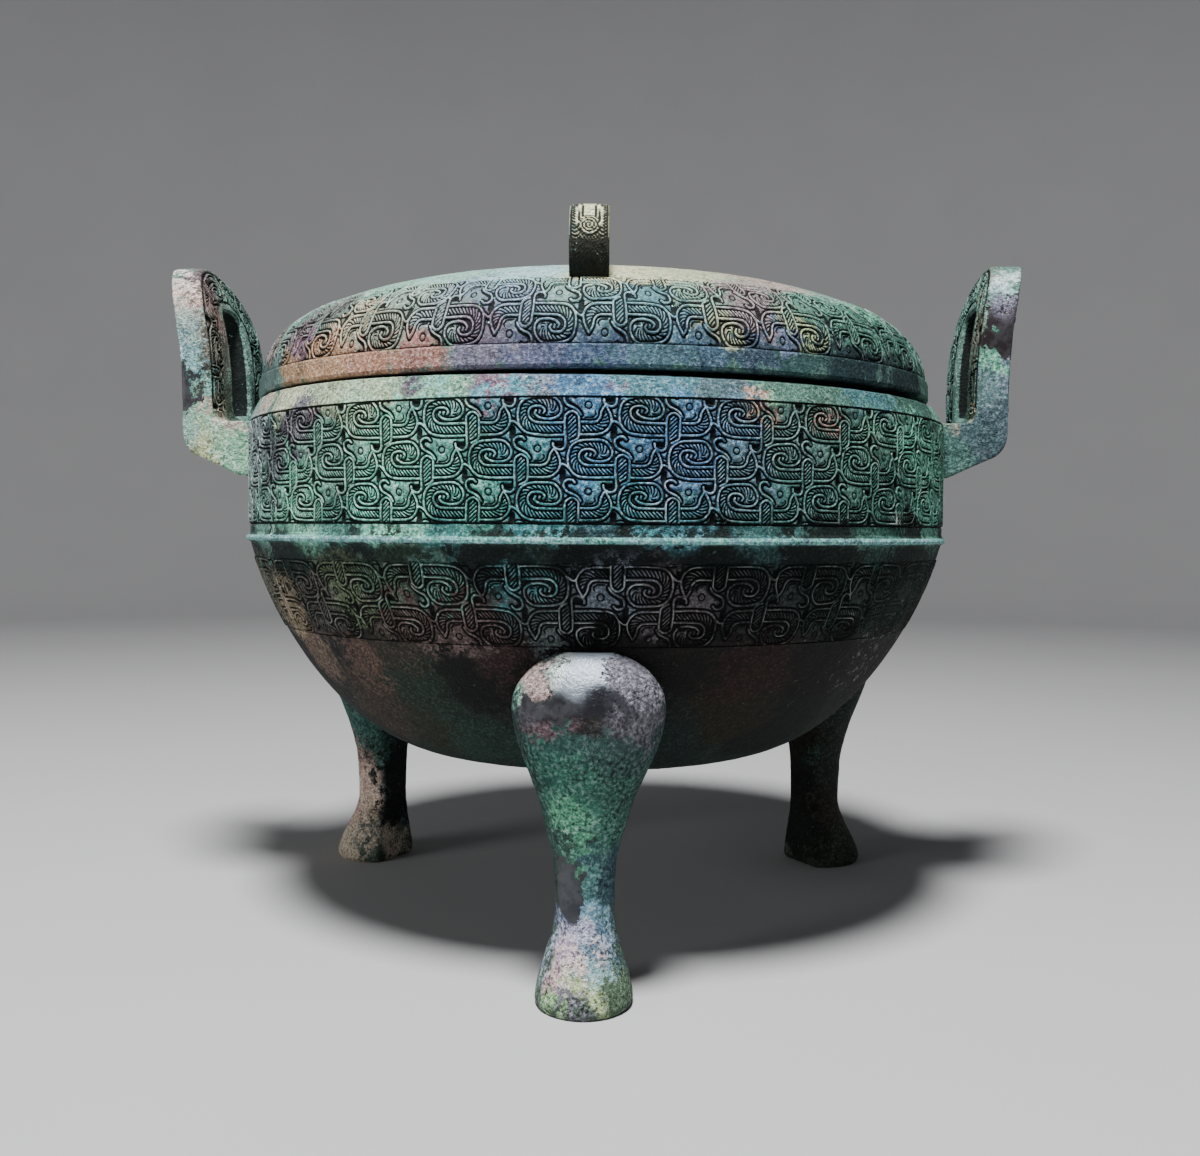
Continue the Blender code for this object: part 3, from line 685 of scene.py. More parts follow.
def handleStrip(side, face):
    h = handleShape
    straight = h["archCentre"] - h["stripStart"]
    length = 2 * straight + math.pi * h["stripPlace"]

    def place(along, down, height):
        way = along / h["repeats"] * length
        across = (down - 0.5) * h["strip"]
        radius = h["stripPlace"] + across
        bend = np.clip((way - straight) / (length - 2 * straight), 0, 1) * math.pi
        y = -radius * np.cos(bend)
        z = h["archCentre"] + radius * np.sin(bend)
        z = z - np.clip(straight - way, 0, None) - np.clip(way - (length - straight), 0, None)
        x = h["reach"] + height if face == "outer" else h["reach"] - h["thickness"] - height
        return setHandle(np.stack([x * np.ones_like(y), y, z], 1), side)
    name = f"{side}Handle{face.capitalize()}Knotwork"
    return layTiles(name, handleTile, h["repeats"], False, place, back=1.6, backRows=1)


handles = []
for side in ("left", "right"):
    handles.append([handlePiece(side)] + [handleStrip(side, face) for face in ("inner", "outer")])
    print(side, "handle", len(handles[-1][0].data.polygons))


# Legs: hoofed, full at the knee and thin above the foot

legShape = dict(
    count=3, turn=1.05, reach=124.0, inner=96.5, kneeTop=101.8, kneeStart=0.84, fullness=0.4, halfTurn=131.8,
    widths=((0, 28.7), (0.26, 17.2), (0.4, 17.716), (0.84, 44.2), (1, 44.2)),  # at shares of the leg's height
    reaches=((0, 124.0), (0.26, 114.1), (0.4, 114.5564), (0.84, 124.0), (1, 124.0)),
    kneeAside=(1.0, 0, 0), shankSwell=(1.2, 49.5, 8.0), soleRound=0.9, grit=0.2, sides=72, rings=130,
)


def smoothStations(share, stations):
    places, values = zip(*stations)
    at = np.clip(np.searchsorted(places, share, "right") - 1, 0, len(places) - 2)
    places, values = np.array(places), np.array(values)
    t = np.clip((share - places[at]) / (places[at + 1] - places[at]), 0, 1)
    return values[at] + (values[at + 1] - values[at]) * t * t * (3 - 2 * t)


def legPiece(index):
    k = legShape
    clearSelection()
    bpy.ops.mesh.primitive_cylinder_add(vertices=k["sides"], radius=1, depth=1, end_fill_type="TRIFAN")
    leg = bpy.context.object
    leg.name = leg.data.name = ("frontLeg", "rightRearLeg", "leftRearLeg")[index]
    setMode("EDIT")
    bpy.ops.mesh.select_mode(type="EDGE")
    bpy.ops.mesh.select_all(action="DESELECT")
    setMode("OBJECT")
    heights = readPoints(leg)[:, 2]
    for edge in leg.data.edges:
        edge.select = bool(abs(heights[edge.vertices[0]] - heights[edge.vertices[1]]) > 0.5)
    setMode("EDIT")
    bpy.ops.mesh.subdivide(number_cuts=k["rings"])
    setMode("OBJECT")
    across, deep, share = readPoints(leg).T
    share = share + 0.5
    rim = np.clip(np.hypot(across, deep), 0, 1)
    angle = np.degrees(np.arctan2(across, -deep))  # 0 faces out from the bowl
    height = share * k["kneeTop"]
    knee = np.clip((share - k["kneeStart"]) / (1.01 - k["kneeStart"]), 0, 1)
    dome = np.sqrt(1 - knee**2)  # the knee's rounded top
    swell, swellHeight, swellReach = k["shankSwell"]
    half = smoothStations(share, k["widths"]) / 2 * dome
    half = half + swell * np.exp(-((height - swellHeight) / swellReach) ** 2)
    top = float(bellyRadius(k["kneeTop"])) - 2  # inside the bowl's wall
    reach = np.where(share > k["kneeStart"], top + (k["reach"] - top) * dome, smoothStations(share, k["reaches"]))
    inner = np.where(height > 57.4, np.maximum(k["inner"], bellyRadius(height) - 2), k["inner"])
    inner = np.minimum(inner, reach - 0.5)
    widest = inner + k["fullness"] * (reach - inner)
    turn = np.radians(np.clip(angle, -k["halfTurn"], k["halfTurn"]))
    y = -widest - (reach - widest) * np.cos(turn)
    acrossFlat = (180 - np.abs(angle)) / (180 - k["halfTurn"]) * np.sign(angle)
    x = half * np.sin(turn) + k["kneeAside"][index] * (1 - fade(share, 0.4, 0.8))
    x = np.where(np.abs(angle) > k["halfTurn"], half * math.sin(math.radians(k["halfTurn"])) * acrossFlat, x)
    middle = -(inner + reach) / 2
    x, y = x * rim, middle + (y - middle) * rim
    sole = fade(height, 0, 1.6) * k["soleRound"]
    x, y = x - np.sign(x) * np.minimum(sole, np.abs(x)) * rim, y - (y - middle) / 14 * sole * rim
    writePoints(leg, np.stack([x, y, height], 1) * mm)
    points, normals = readPoints(leg), readPoints(leg, "normal")
    grit = k["grit"] * mm * layeredNoise(points + index, 2.2 * mm, 3, 60 + index) * (1 - 0.9 * fade(height, 0.3, 2))
    points += normals * grit[:, None]
    points[:, 2] = np.clip(points[:, 2], 0, None)
    turned = Matrix.Rotation(math.radians(k["turn"] + index * 360 / k["count"]), 3, "Z")
    writePoints(leg, points @ np.array(turned).T)
    pick(leg)
    bpy.ops.object.shade_smooth()
    return leg


legs = [legPiece(index) for index in range(legShape["count"])]
print("legs", len(legs[0].data.polygons))


# Loops: three strap rings on the lid, each with a cast spiral at its top

loopShape = dict(
    count=3, first=-90.0, place=93.42, lift=37.3, radius=13.5, strap=3.4, width=11.5, squareness=8,
    spiralAt=22, spiralReach=3.1, spiralPitch=0.92, grooves=((1.75, 0.05), (3.1, 0.03)), fieldHalf=3.9,
    sideStart=4.05, ribPitch=1.1, featherPitch=1.3, featherSlant=1.4, edge=(5.1, 5.5), outside=0.93, depth=0.5,
    sunk=0.25, around=230, across=40, triangles=8000,
)


def loopPattern(way, across):  # way: mm along the outside, up from the spiral's middle; across: mm from the middle
    k = loopShape
    away, angle, aside = np.hypot(way, across), np.arctan2(way, across), np.abs(across)
    turns = away / k["spiralPitch"] - angle / (2 * math.pi)
    spiral = fade(np.abs(turns - np.round(turns)), 0.16, 0.32)
    spiral = spiral * fade(away, k["spiralReach"], k["spiralReach"] + 0.2)
    grooves = np.minimum(*(np.abs(aside - place - slant * (way - 3)) for place, slant in k["grooves"]))
    tongue = 0.8 * (1 - fade(grooves, 0.14, 0.34))
    ribs = 0.35 + 0.4 * np.cos(2 * math.pi * (way + aside) / k["ribPitch"])
    feathers = 0.4 + 0.4 * np.cos(2 * math.pi * (way - k["featherSlant"] * aside) / k["featherPitch"])
    field = np.where(way > 0, tongue, feathers) * (aside < k["fieldHalf"])
    side = np.where(aside > k["sideStart"], ribs, 0)
    beyond = away > k["spiralReach"] + 0.35
    return np.maximum(spiral, beyond * np.maximum(field, side)) * fade(aside, *k["edge"])


def loopPiece(index):
    k = loopShape
    clearSelection()
    bpy.ops.mesh.primitive_torus_add(major_segments=k["around"], minor_segments=2 * k["across"],
                                     major_radius=1, minor_radius=0.25)
    loop = bpy.context.object
    loop.name = loop.data.name = ("frontLoop", "rightRearLoop", "leftRearLoop")[index]
    x, y, z = readPoints(loop).T
    around = np.arctan2(y, x)
    ringAngle = np.arctan2(z, np.hypot(x, y) - 1)
    c, s = np.cos(ringAngle), np.sin(ringAngle)
    power = k["squareness"]
    stretch = 1 / (np.abs(c) ** power + np.abs(s) ** power) ** (1 / power)  # the strap's rounded oblong section
    outer = 0.5 + 0.5 * c * stretch
    across = s * stretch * k["width"] / 2
    way = (around - math.radians(k["spiralAt"]) + math.pi) % (2 * math.pi) - math.pi
    outside = outer > k["outside"]
    pattern = loopPattern(way * k["radius"], across) * outside
    radius = k["radius"] - k["strap"] + k["strap"] * outer + pattern * k["depth"] - k["sunk"] * outside
    out, up = k["place"] + radius * np.cos(around), k["lift"] + radius * np.sin(around)
    x, y = turnFlat(out, across, k["first"] + index * 360 / k["count"])
    writePoints(loop, placeLid(np.stack([x, y, up], 1)) * mm)
    dirtAndShadeBelow = fade(np.degrees(around), -9, 9)  # below its middle: partly dirt, partly painted shade under the strap
    writeLayer(loop, "relief", np.where(outside, 0.12 + 0.8 * pattern, 0.62) * (1 - dirtAndShadeBelow))
    pick(loop)
    setMode("EDIT")
    finishEdit()
    addModifier(loop, "DECIMATE", ratio=k["triangles"] / (2 * len(loop.data.polygons)))
    bpy.ops.object.shade_smooth()
    return loop


loops = [loopPiece(index) for index in range(loopShape["count"])]
print("loops", len(loops[0].data.polygons))


# Patina: where each corrosion colour lies, painted on the points of every piece; some patches and marks also paint
# light and shade

def onRound(azimuth, radius):  # azimuth from the side that faces the camera
    return turnFlat(radius, 0, azimuth + cameraView["yaw"] - 90)


def onBowl(azimuth, z):
    return (*onRound(azimuth, bowlShape["wallRadius"] if z > 132 else float(bellyRadius(z))), z)


def onLid(azimuth, z):
    x, y = onRound(azimuth, float(domeRadius(max(z - lidShape["lift"], 0))))
    return x + lidShape["shift"], y, z


def allRound(place, table):  # from an azimuth and a height to a place
    return [(*place(azimuth, z), *rest) for azimuth, z, *rest in table]


# each: azimuth and height, or x, y and z, then reach in mm, colour and, where the bronze is bare, how bare
bowlPatches = allRound(onBowl, [
    # the cream patches along the rim top near 179 mm are partly crust, partly a painted highlight
    (-62, 179, 7, "#c9b79c"), (-51, 179, 8, "#c3cba6"), (-39, 179, 9, "#b4c8a0"), (-31, 178, 8, "#a9c39c"),
    (-25, 179, 3.5, "#655468"), (-20, 178, 6, "#84bf9f"), (-13, 177, 7, "#937289"), (-7, 177, 5, "#7f8ea0"),
    (-2, 175, 7, "#40719a"), (-5, 179.5, 2.5, "#b1737a"), (2, 179.5, 2.5, "#a9757c"), (8, 176, 9, "#4a8695"),
    (18, 176, 8, "#55747e"), (24, 177, 3, "#7fc497"), (22, 175, 3, "#836a7c"), (31, 176, 10, "#4e7d6d"),
    (42, 176, 9, "#3c797e"), (56, 176, 12, "#2f5c4f"), (75, 176, 16, "#5f9c84"), (-64, 168, 9, "#8ea0a2"),
    (-70, 152, 15, "#8aa6a1"), (-56, 155, 8, "#5f6d70"), (-47, 167, 8, "#6d6d76"), (-42, 172, 4, "#7e6776"),
    (-33, 170, 7, "#addab0"), (-39, 156, 9, "#74b09a"), (-46, 144, 12, "#78ccac"), (-60, 141, 9, "#80bda8"),
    (-28, 160, 9, "#8cedc9"), (-28, 145, 11, "#75dcbc"), (-20, 167, 6, "#80d6c5"), (-19, 153, 8, "#70d6c0"),
    (-15, 142, 9, "#48ac9c"), (-10, 168, 7, "#58a9be"), (-10, 155, 8, "#4dabb6"), (-7, 142, 8, "#3f989f"),
    (0, 166, 8, "#519ecf"), (1, 152, 9, "#4592bc"), (4, 141, 8, "#4298a5"), (11, 164, 8, "#498dc0"),
    (12, 150, 9, "#4c81b2"), (13, 140, 7, "#458d99"), (19, 163, 6, "#6394b8"), (24, 169.5, 4, "#cca38b"),
    (20, 150, 8, "#578697"), (27, 159, 7, "#66948f"), (33, 167, 3.5, "#ba8f81"), (29, 144, 9, "#498882"),
    (37, 155, 8, "#569283"), (42, 165, 7, "#63a58c"), (46, 146, 10, "#407e6c"), (55, 164, 10, "#66c4a4"),
    (60, 148, 12, "#54a68c"), (76, 158, 16, "#43886f"), (-60, 136.5, 7, "#5f9f8f"), (-38, 136.5, 7, "#4d9484"),
    (-18, 136.5, 7, "#3a8480"), (2, 136.5, 7, "#3c7a86"), (22, 136.5, 7, "#37706e"), (46, 136.5, 8, "#356e60"),
    (75, 136.5, 9, "#357060"), (-66, 129.5, 8, "#294640"), (-50, 129.5, 8, "#264039"), (-36, 129.5, 7, "#203a34"),
    (-27, 128.5, 6, "#34503f"), (-14, 129.5, 8, "#182a26"), (2, 129.5, 9, "#131f1d"), (16, 129.5, 9, "#142320"),
    (32, 129.5, 9, "#162823"), (52, 129.5, 10, "#182d26"), (75, 129.5, 11, "#1f362d"), (-66, 116, 10, "#6c6c5c"),
    (-58, 105, 8, "#a08c6c"), (-47, 112, 8, "#57554e"), (-38, 118, 7, "#6c805b"), (-31, 119, 6, "#577960"),
    (-29, 108, 8, "#6b5750"), (-20, 118, 6, "#6ba694"), (-18, 108, 8, "#715c59"), (-9, 119, 5, "#519ba2"),
    (-6, 110, 8, "#5d696b"), (3, 119, 7, "#6b7887"), (12, 113, 9, "#645d61"), (25, 117, 8, "#323c3a"),
    # the near-black patches from here down the belly are partly dark patina, partly painted shade
    (38, 116, 9, "#233930"), (56, 114, 13, "#213b2f"), (-56, 96, 8, "#6b5646"), (-46, 97, 6, "#171c1d"),
    (-42, 92, 8, "#5a4336"), (-31, 97, 8, "#3c362b"), (-30, 86, 10, "#1f3226"), (-21, 89, 8, "#0f100e"),
    (-13, 98, 8, "#36211f"), (-44, 76, 12, "#3a3025"), (-36, 70, 11, "#252e1d"), (-24, 66, 13, "#1c382f"),
    (0, 66, 16, "#152a26"), (0, 90, 15, "#151210"), (15, 98, 10, "#171411"), (27, 92, 10, "#2a1611"),
    (28, 78, 10, "#23200e"), (18, 68, 11, "#132620"), (42, 92, 12, "#161412"), (54, 96, 10, "#22211e", 0.2),
    (42, 74, 13, "#121815"), (70, 90, 16, "#1f1c18"),
]) + [
    (0, -40, 57, 36, "#1d2f27"),
]
lidPatches = allRound(onLid, [
    (-72, 184, 9, "#5f7a79", 0.75), (-60, 185, 5, "#66807c", 0.6), (-51, 185, 7, "#bd946c"),
    (-42, 184, 8, "#cf9e74"), (-33, 184, 7, "#c98f72"), (-24, 184, 7, "#bd8578"), (-14, 184, 6, "#837f98"),
    (-7, 184, 5, "#6a7398"), (0, 184, 6, "#496489"), (8, 184, 6, "#4f7a8a"), (17, 184, 6, "#466c86"),
    (24, 184, 5, "#3c566c"), (31, 184, 6, "#35605f"), (42, 184, 9, "#1d3c43"), (57, 184, 10, "#183236", 0.2),
    (75, 184, 12, "#447a68"), (-66, 196, 8, "#7d7773"), (-54, 198, 6, "#776a6f"), (-50, 193, 5, "#97738a"),
    (-46, 205, 7, "#787d76"), (-37, 200, 6, "#d6cdaa"), (-32, 194, 6, "#a9b29c"), (-29, 204, 7, "#b0cbb9"),
    (-22, 197, 6, "#a3b5b8"), (-20, 206, 6, "#93b0c2"), (-15, 194, 5, "#96809c"), (-10, 200, 7, "#8facc6"),
    (-6, 192, 5, "#78a4ba"), (-2, 204, 6, "#9fd0c6"), (2, 196, 7, "#7db6c0"), (9, 200, 7, "#6fb0bb"),
    (13, 191, 5, "#5f98b3"), (15, 203, 6, "#93bfa9"), (19, 191, 5, "#c3cda2"), (25, 207, 7, "#a69896"),
    (24, 197, 6, "#ab9ba0"), (28, 191, 4, "#7388ac"), (32, 194, 5, "#b5cb92"), (37, 203, 7, "#5c9683"),
    (44, 197, 8, "#4b8b76"), (57, 196, 10, "#3c7565"), (55, 209, 9, "#5cb695"), (74, 198, 13, "#477f6c"),
]) + [
    (12, -92, 218, 13, "#e2e2b0"), (32, -84, 218, 12, "#c8d3a8"), (54, -72, 218, 12, "#b9a69a"),
    (74, -55, 216, 12, "#86a898"), (-16, -92, 218, 12, "#a9dbe0"), (-34, -84, 218, 12, "#9fd8c4"),
    (-58, -66, 218, 14, "#8fc9b2"), (-76, -48, 216, 14, "#8aa79c"), (0, -55, 224, 22, "#a9cdb2"),
    (-38, -40, 224, 24, "#84bca8"), (38, -38, 224, 22, "#a2b49a"), (0, -12, 225, 22, "#8cc0a6"),
    (-70, -8, 220, 22, "#79a898"), (70, -8, 220, 22, "#8d9c8c"),
]
handlePatches = [
    # the near-white patches at the tops of both handles are partly pale crust, partly a painted highlight
    (-154, -28, 231, 12, "#fbeee4"), (-146, -29, 230, 9, "#f3ded2"), (-150, -29, 221, 8, "#efd3c4"),
    (-143, -29, 219, 6, "#e8c2b4"), (-150, -29, 211, 7, "#aab8ac"), (-141, -29, 210, 6, "#a9b6ac"),
    (-144, -28, 206, 6, "#9fc2b8"), (-146, -28, 200, 7, "#93c0cc"), (-141, -28, 194, 5, "#8ac4cc"),
    (-145, -29, 190.5, 8.5, "#28282d", 0.95), (-145, -29, 182, 7.5, "#2c2c31", 0.95),
    (-137, -28, 187, 5, "#80bdb2"), (-141, -28, 183, 2.4, "#93cfc0"), (-139, -28, 176, 6, "#94c8aa"),
    (-143, -28, 168, 7, "#92c3b0"), (-138, -28, 163, 7, "#c9d79f"), (-130, -28, 166, 6, "#a7dcb4"),
    (-124, -28, 161, 6, "#8ed0a8"), (-128, -28, 172, 4, "#dccdb8"), (-133, -17, 175.5, 6, "#d3c4ae"),
    (-137, -12, 226, 7, "#6c5a60"), (-135, -16, 212, 8, "#8b7168"), (-132, -16, 198, 9, "#6f6a5e"),
    (-132, -16, 184, 8, "#5c5f50"), (-142, 0, 226, 9, "#6f7c74"), (-140, 16, 220, 8, "#567f74"),
    (-137, 13, 200, 7, "#87b5ac"), (-137, 22, 200, 9, "#467267"), (-137, 20, 184, 9, "#3d5f56"),
    (-136, 13, 182, 5, "#8fbcb0"), (-152, 10, 215, 18, "#6a9a8a"), (-146, 20, 190, 16, "#5f8c80"),
    (-146, -12, 190, 13, "#7da092"), (-130, 10, 160, 16, "#4f8072"), (150, -24, 230, 9, "#d9f2f2"),
    (150, -27, 224.5, 6, "#95f2d4"), (149, -29, 218, 4.5, "#8c8aa6", 0.2), (142, -24, 229, 8, "#d3e8ee"),
    (143.5, -28, 222, 6, "#b4dde4"), (142, -29, 216, 4.5, "#7c7c90", 0.2),
    (146.5, -28, 212.5, 5.5, "#463e4a", 0.75), (144, -28, 206, 6.5, "#2a2226", 0.95),
    (147.5, -28, 203, 6, "#282226", 0.95), (139.6, -28, 207, 2.2, "#74cfae"), (141, -28, 193, 5, "#66bd9a"),
    (147, -28, 196, 4.5, "#989ab0"), (146, -28, 186, 7, "#748c9c"), (139, -28, 184, 6, "#63878a"),
    (144, -28, 172, 7, "#4c6570"), (136, -28, 167, 7, "#44646b"), (127, -28, 162, 6, "#46776f"),
    (143, -28, 161, 6, "#4f5965", 0.1), (130, -22, 175, 4.5, "#d8caa0"), (134, -12, 222, 7, "#7f7f6c"),
    (132, -15, 202, 8, "#6f7460"), (131.5, -15, 186, 8, "#323c30"), (136, 14, 198, 8, "#7aa99a"),
    (137, 22, 205, 11, "#55857a"), (136, 18, 180, 9, "#5b8a7d"), (-150, 28, 225, 10, "#a9bfa6"),
    (-147, 28, 205, 11, "#6f9f94"), (-146, 28, 187, 10, "#84b5a4"), (-138, 28, 168, 12, "#5f9482"),
    (150, 28, 225, 10, "#8ab8a4"), (147, 28, 205, 11, "#5f8a84"), (146, 28, 187, 10, "#7395a0"),
    (138, 28, 168, 12, "#4f8578"), (148, 5, 215, 20, "#5c8d7f"), (146, 0, 185, 20, "#527f74"),
    (130, 10, 160, 16, "#45756a"),
]
legPatches = [
    # on the knee, the pale bare spot is partly a painted highlight and the dark bare band under it is partly a
    # painted reflection
    (4, -120, 97, 7.5, "#87919c", 0.95), (-5, -119, 97.5, 4.5, "#a9b6b2", 0.6), (13, -119, 97, 6, "#8f8f9c", 0.3),
    (-13, -119, 95, 6, "#d3b7b0"), (-18, -117, 91, 4, "#86c9ae"), (19, -118, 92, 7, "#8f8c9c"),
    (-12, -122, 88.5, 4.5, "#232329", 0.85), (-3, -123, 88, 5, "#1e1d24", 0.95), (7, -123, 88, 5, "#1d1d25", 0.9),
    (15, -122, 86, 4.5, "#3a3841", 0.4), (-18, -120, 84, 4, "#585661", 0.2), (21, -119, 82, 7, "#6c6a76"),
    (-8, -123, 82, 5, "#6f525c"), (-1, -124, 84, 3.5, "#5f454d"), (4, -124, 82, 4, "#35302f", 0.2),
    (10, -123, 80, 5, "#5b5361"), (-12, -121, 77, 5, "#6d565c"), (1, -123, 76, 6, "#2c5d56"),
    (12, -122, 73, 7, "#3f645f"), (-9, -121, 70, 7, "#357a6b"), (4, -121, 64, 7, "#418b74"),
    (-5, -119, 60, 7, "#37806c"), (12, -119, 62, 6, "#3b7566"), (-1, -117, 53, 6.5, "#62c294"),
    (8, -117, 49, 6, "#4b927c"), (-2, -116, 44, 5, "#5fae8c"), (-3, -115, 39.5, 5, "#2b2e32", 0.95),
    (-4, -115, 33.5, 6, "#282b30", 0.95), (-5, -115, 27.5, 5, "#2e3136", 0.95), (-3.4, -116, 35, 1.3, "#dd8f9f"),
    (6, -115, 36, 5, "#4f8a86"), (7, -115, 28, 6, "#87bed5"), (0, -114, 22, 5, "#cccaeb"),
    (-6, -116, 19, 5, "#d4bede"), (9, -116, 19, 5, "#afcce8"), (3, -117, 14, 4.5, "#f8dad8"),
    (1, -119, 10, 4, "#ffffda"), (-7, -119, 10, 4, "#e2b4be"), (9, -119, 11, 4.5, "#a6d3da"),
    (-8, -122, 4, 5, "#abe398"), (2, -124, 5, 5, "#878792"), (10, -122, 6, 5, "#cae39d"),
    (4, -124, 1, 4, "#586e5d"), (-13, -112, 15, 6, "#b3c1da"), (13, -112, 17, 6, "#638ba5"),
    (-14, -113, 5, 6, "#65856e"), (14, -113, 5, 6, "#5f7d5f"), (-9, -109, 27, 5, "#6b7b99"),
    (10, -109, 34, 7, "#35606a"), (-9, -110, 46, 6, "#3f8070"), (-5, -100, 40, 12, "#365a4e"),
    (8, -100, 15, 11, "#4d6a5c"), (0, -99, 70, 13, "#27423c"), (-88, 50, 92, 10, "#2c5a54"),
    (-95, 46, 78, 12, "#2f5f58"), (-97, 47, 66, 9, "#35655d"), (-97, 47, 55, 7, "#31635a"),
    # on the left rear leg the pale patches are brightened as painted light, and the dark patches at x -84 are
    # painted shadow
    (-98, 48, 44, 6, "#91776b"), (-99, 48, 35, 8, "#debca9"), (-96, 48, 27, 7, "#f8d7bc"),
    (-103, 50, 19, 7, "#e2aca9"), (-96, 50, 16, 7, "#fcdfc1"), (-104, 52, 4, 9, "#f8e3be"),
    (-94, 52, 8, 9, "#f5dfc3"), (-92, 46, 8, 3, "#464a4a"), (-84, 52, 60, 8, "#151a18"),
    (-84, 52, 40, 8, "#1c211e"), (-84, 50, 20, 8, "#222823"), (92, 46, 88, 10, "#1b2f2a"),
    (97, 48, 72, 11, "#24352f"), (96, 49, 56, 10, "#2e3730"), (96, 50, 40, 10, "#2a352d"),
    (97, 51, 24, 9, "#3c3830"), (97, 54, 6, 10, "#434a3c"), (86, 52, 55, 9, "#2b281a"), (86, 52, 30, 9, "#1f231d"),
    (86, 52, 10, 9, "#242a24"),
]


patina = dict(
    stray=7.5, straySize=11, falloff=4.6, wideTone=0.22, fineTone=0.12, underShift=(4, 3, -4), underSeed=40,
    # the ridge tints are partly crust colour and partly a painted highlight; the darkening round 129 mm under the
    # ridge is a painted shadow
    ridgeRadius=124.4, ridgeTintsAndHighlight=("#7ad8ca", "#8fcfd8"), ridgeShare=0.85, paintedRidgeShadowHeight=129, paintedRidgeShadow=0.55,
    jointRadius=117.6, jointHeight=177,
)


def coat(points, patches, base, seed, mirrored):  # one layer of crust colours, and where it is bare
    k = patina
    count = len(points)
    stray = np.stack([layeredNoise(points, k["straySize"], 4, seed + 7 * i) for i in range(3)], 1)
    points = points + k["stray"] * stray
    if mirrored:  # the unseen back takes the front's colours
        points[:, 1] = -np.abs(points[:, 1])
    heights, tints = zip(*base)
    channels = zip(*(linear(tint) for tint in tints))
    ground = np.stack([np.interp(points[:, 2], heights, channel) for channel in channels], 1)
    crustWeight, bareWeight = np.full(count, 1e-5), np.full(count, 1e-12)
    crust, skin = crustWeight[:, None] * ground, bareWeight[:, None] * ground
    for x, y, z, reach, tint, *smooth in patches:
        weight = np.exp(-k["falloff"] * (np.linalg.norm(points - (x, y, z), axis=1) / reach) ** 2)
        smoothWeight = weight * sum(smooth)
        weight = weight * (1 - sum(smooth))
        crustWeight += weight
        bareWeight += smoothWeight
        crust += weight[:, None] * np.array(linear(tint))
        skin += smoothWeight[:, None] * np.array(linear(tint))
    tone = 1 + k["wideTone"] * stray[:, :1] + k["fineTone"] * stray[:, 1:2]
    crust, skin = (np.hstack([np.clip(sums / weights[:, None] * tone, 0, 1), np.ones((count, 1))])
                   for sums, weights in ((crust, crustWeight), (skin, bareWeight)))
    return crust, skin, bareWeight / (crustWeight + bareWeight)


def paint(piece, patches, base, seed, mirrored=False):
    k = patina
    points = readPoints(piece) / mm
    away = np.hypot(points[:, 0], points[:, 1])
    upper, skin, bare = coat(points, patches, base, seed, mirrored)
    under = coat(points + k["underShift"], patches, base, seed + k["underSeed"], mirrored)[0]
    if piece is bowl:  # the ridge round its middle gets a brighter blue green, partly crust colour and partly a painted highlight on its upward face, and the strip under it gets a painted shadow
        ridge = np.clip((away - k["ridgeRadius"]) / 0.5, 0, 1)[:, None] * k["ridgeShare"]
        # painted shadow: the strip just under the ridge is darkened, as if in the ridge's shade
        paintedRidgeShadow = (1 - k["paintedRidgeShadow"] * fade(np.abs(points[:, 2] - k["paintedRidgeShadowHeight"]), 2.0, 3.2))[:, None]
        for layer, tint in zip((upper, under), k["ridgeTintsAndHighlight"]):
            layer[:, :3] += ridge * (np.array(linear(tint)) - layer[:, :3])
            layer[:, :3] *= paintedRidgeShadow
    for name, values in (("crust", upper), ("underCrust", under), ("skin", skin), ("bare", bare)):
        writeLayer(piece, name, values)
    if "relief" not in piece.data.attributes:  # painted shade: the joint under the lid is darkened, as the gap's shadow
        joint = (piece is bowl) & (away < k["jointRadius"]) & (points[:, 2] > k["jointHeight"])
        writeLayer(piece, "relief", np.where(joint, 0, plainRelief))


# the colours between the patches, by height; the bowl's darken towards the bottom, partly dark patina and partly
# painted shade on the underside
bowlGround = [(57, "#1c2b25"), (100, "#211f1b"), (126, "#24302b"), (134, "#3c7264"), (180, "#5a9080")]
lidGround = [(181, "#5a8a7c"), (225, "#8fbfa8")]
handleGround = [(150, "#4f7c70"), (232, "#7fa898")]
legGround = [(0, "#5d6f60"), (25, "#4f7278"), (45, "#39695d"), (85, "#2a4f49"), (102, "#333f3d")]
for piece in [bowl] + bandPieces:
    paint(piece, bowlPatches, bowlGround, 0, True)
for piece in [lid, lidBand] + loops:
    paint(piece, lidPatches, lidGround, 3, True)
for group in handles:
    for piece in group:
        paint(piece, handlePatches, handleGround, 5)
for leg in legs:
    paint(leg, legPatches, legGround, 7)
print("patina painted")


# Materials

def newMaterial(name):  # with its nodes, its shader and the place on the piece
    material = bpy.data.materials.new(name)
    material.use_nodes = True
    tree = material.node_tree
    return material, tree, tree.nodes["Principled BSDF"], addNode(tree, "TexCoord").outputs["Object"]


def addNode(tree, kind, inputs=None, **settings):
    node = tree.nodes.new("ShaderNode" + kind)
    for name, value in settings.items():
        setattr(node, name, value)
    for socket, value in (inputs or {}).items():
        if isinstance(value, bpy.types.NodeSocket):
            tree.links.new(value, node.inputs[socket])
        else:
            node.inputs[socket].default_value = value
    return node


bronzeFinish = dict(  # sizes in millimetres
    grit=1.0, fineGrit=0.45, islands=3.4, blotch=5, grime=8, rubAndHighlightSize=7, pepper=0.78, salt=1.0, bumpHeight=0.0014,
    # the groove tint is partly dirt and partly painted shade; the crest tint is partly wear and partly a painted
    # highlight
    blotchTint="#3f4c48", pepperTint="#10171a", dirtAndShadeTint="#05080a", dirt=0.97, dirtTop=0.74, dirtAndShadeRange=0.36,
    crestWearAndHighlightTint="#dae3db", crest=0.62, skinTint="#5c6064", crustRough=0.8, bareRough=0.36, crustMetal=0.05,
    bareMetal=0.4, crustGloss=0.22, bareGloss=0.5, saturation=0.93,
)


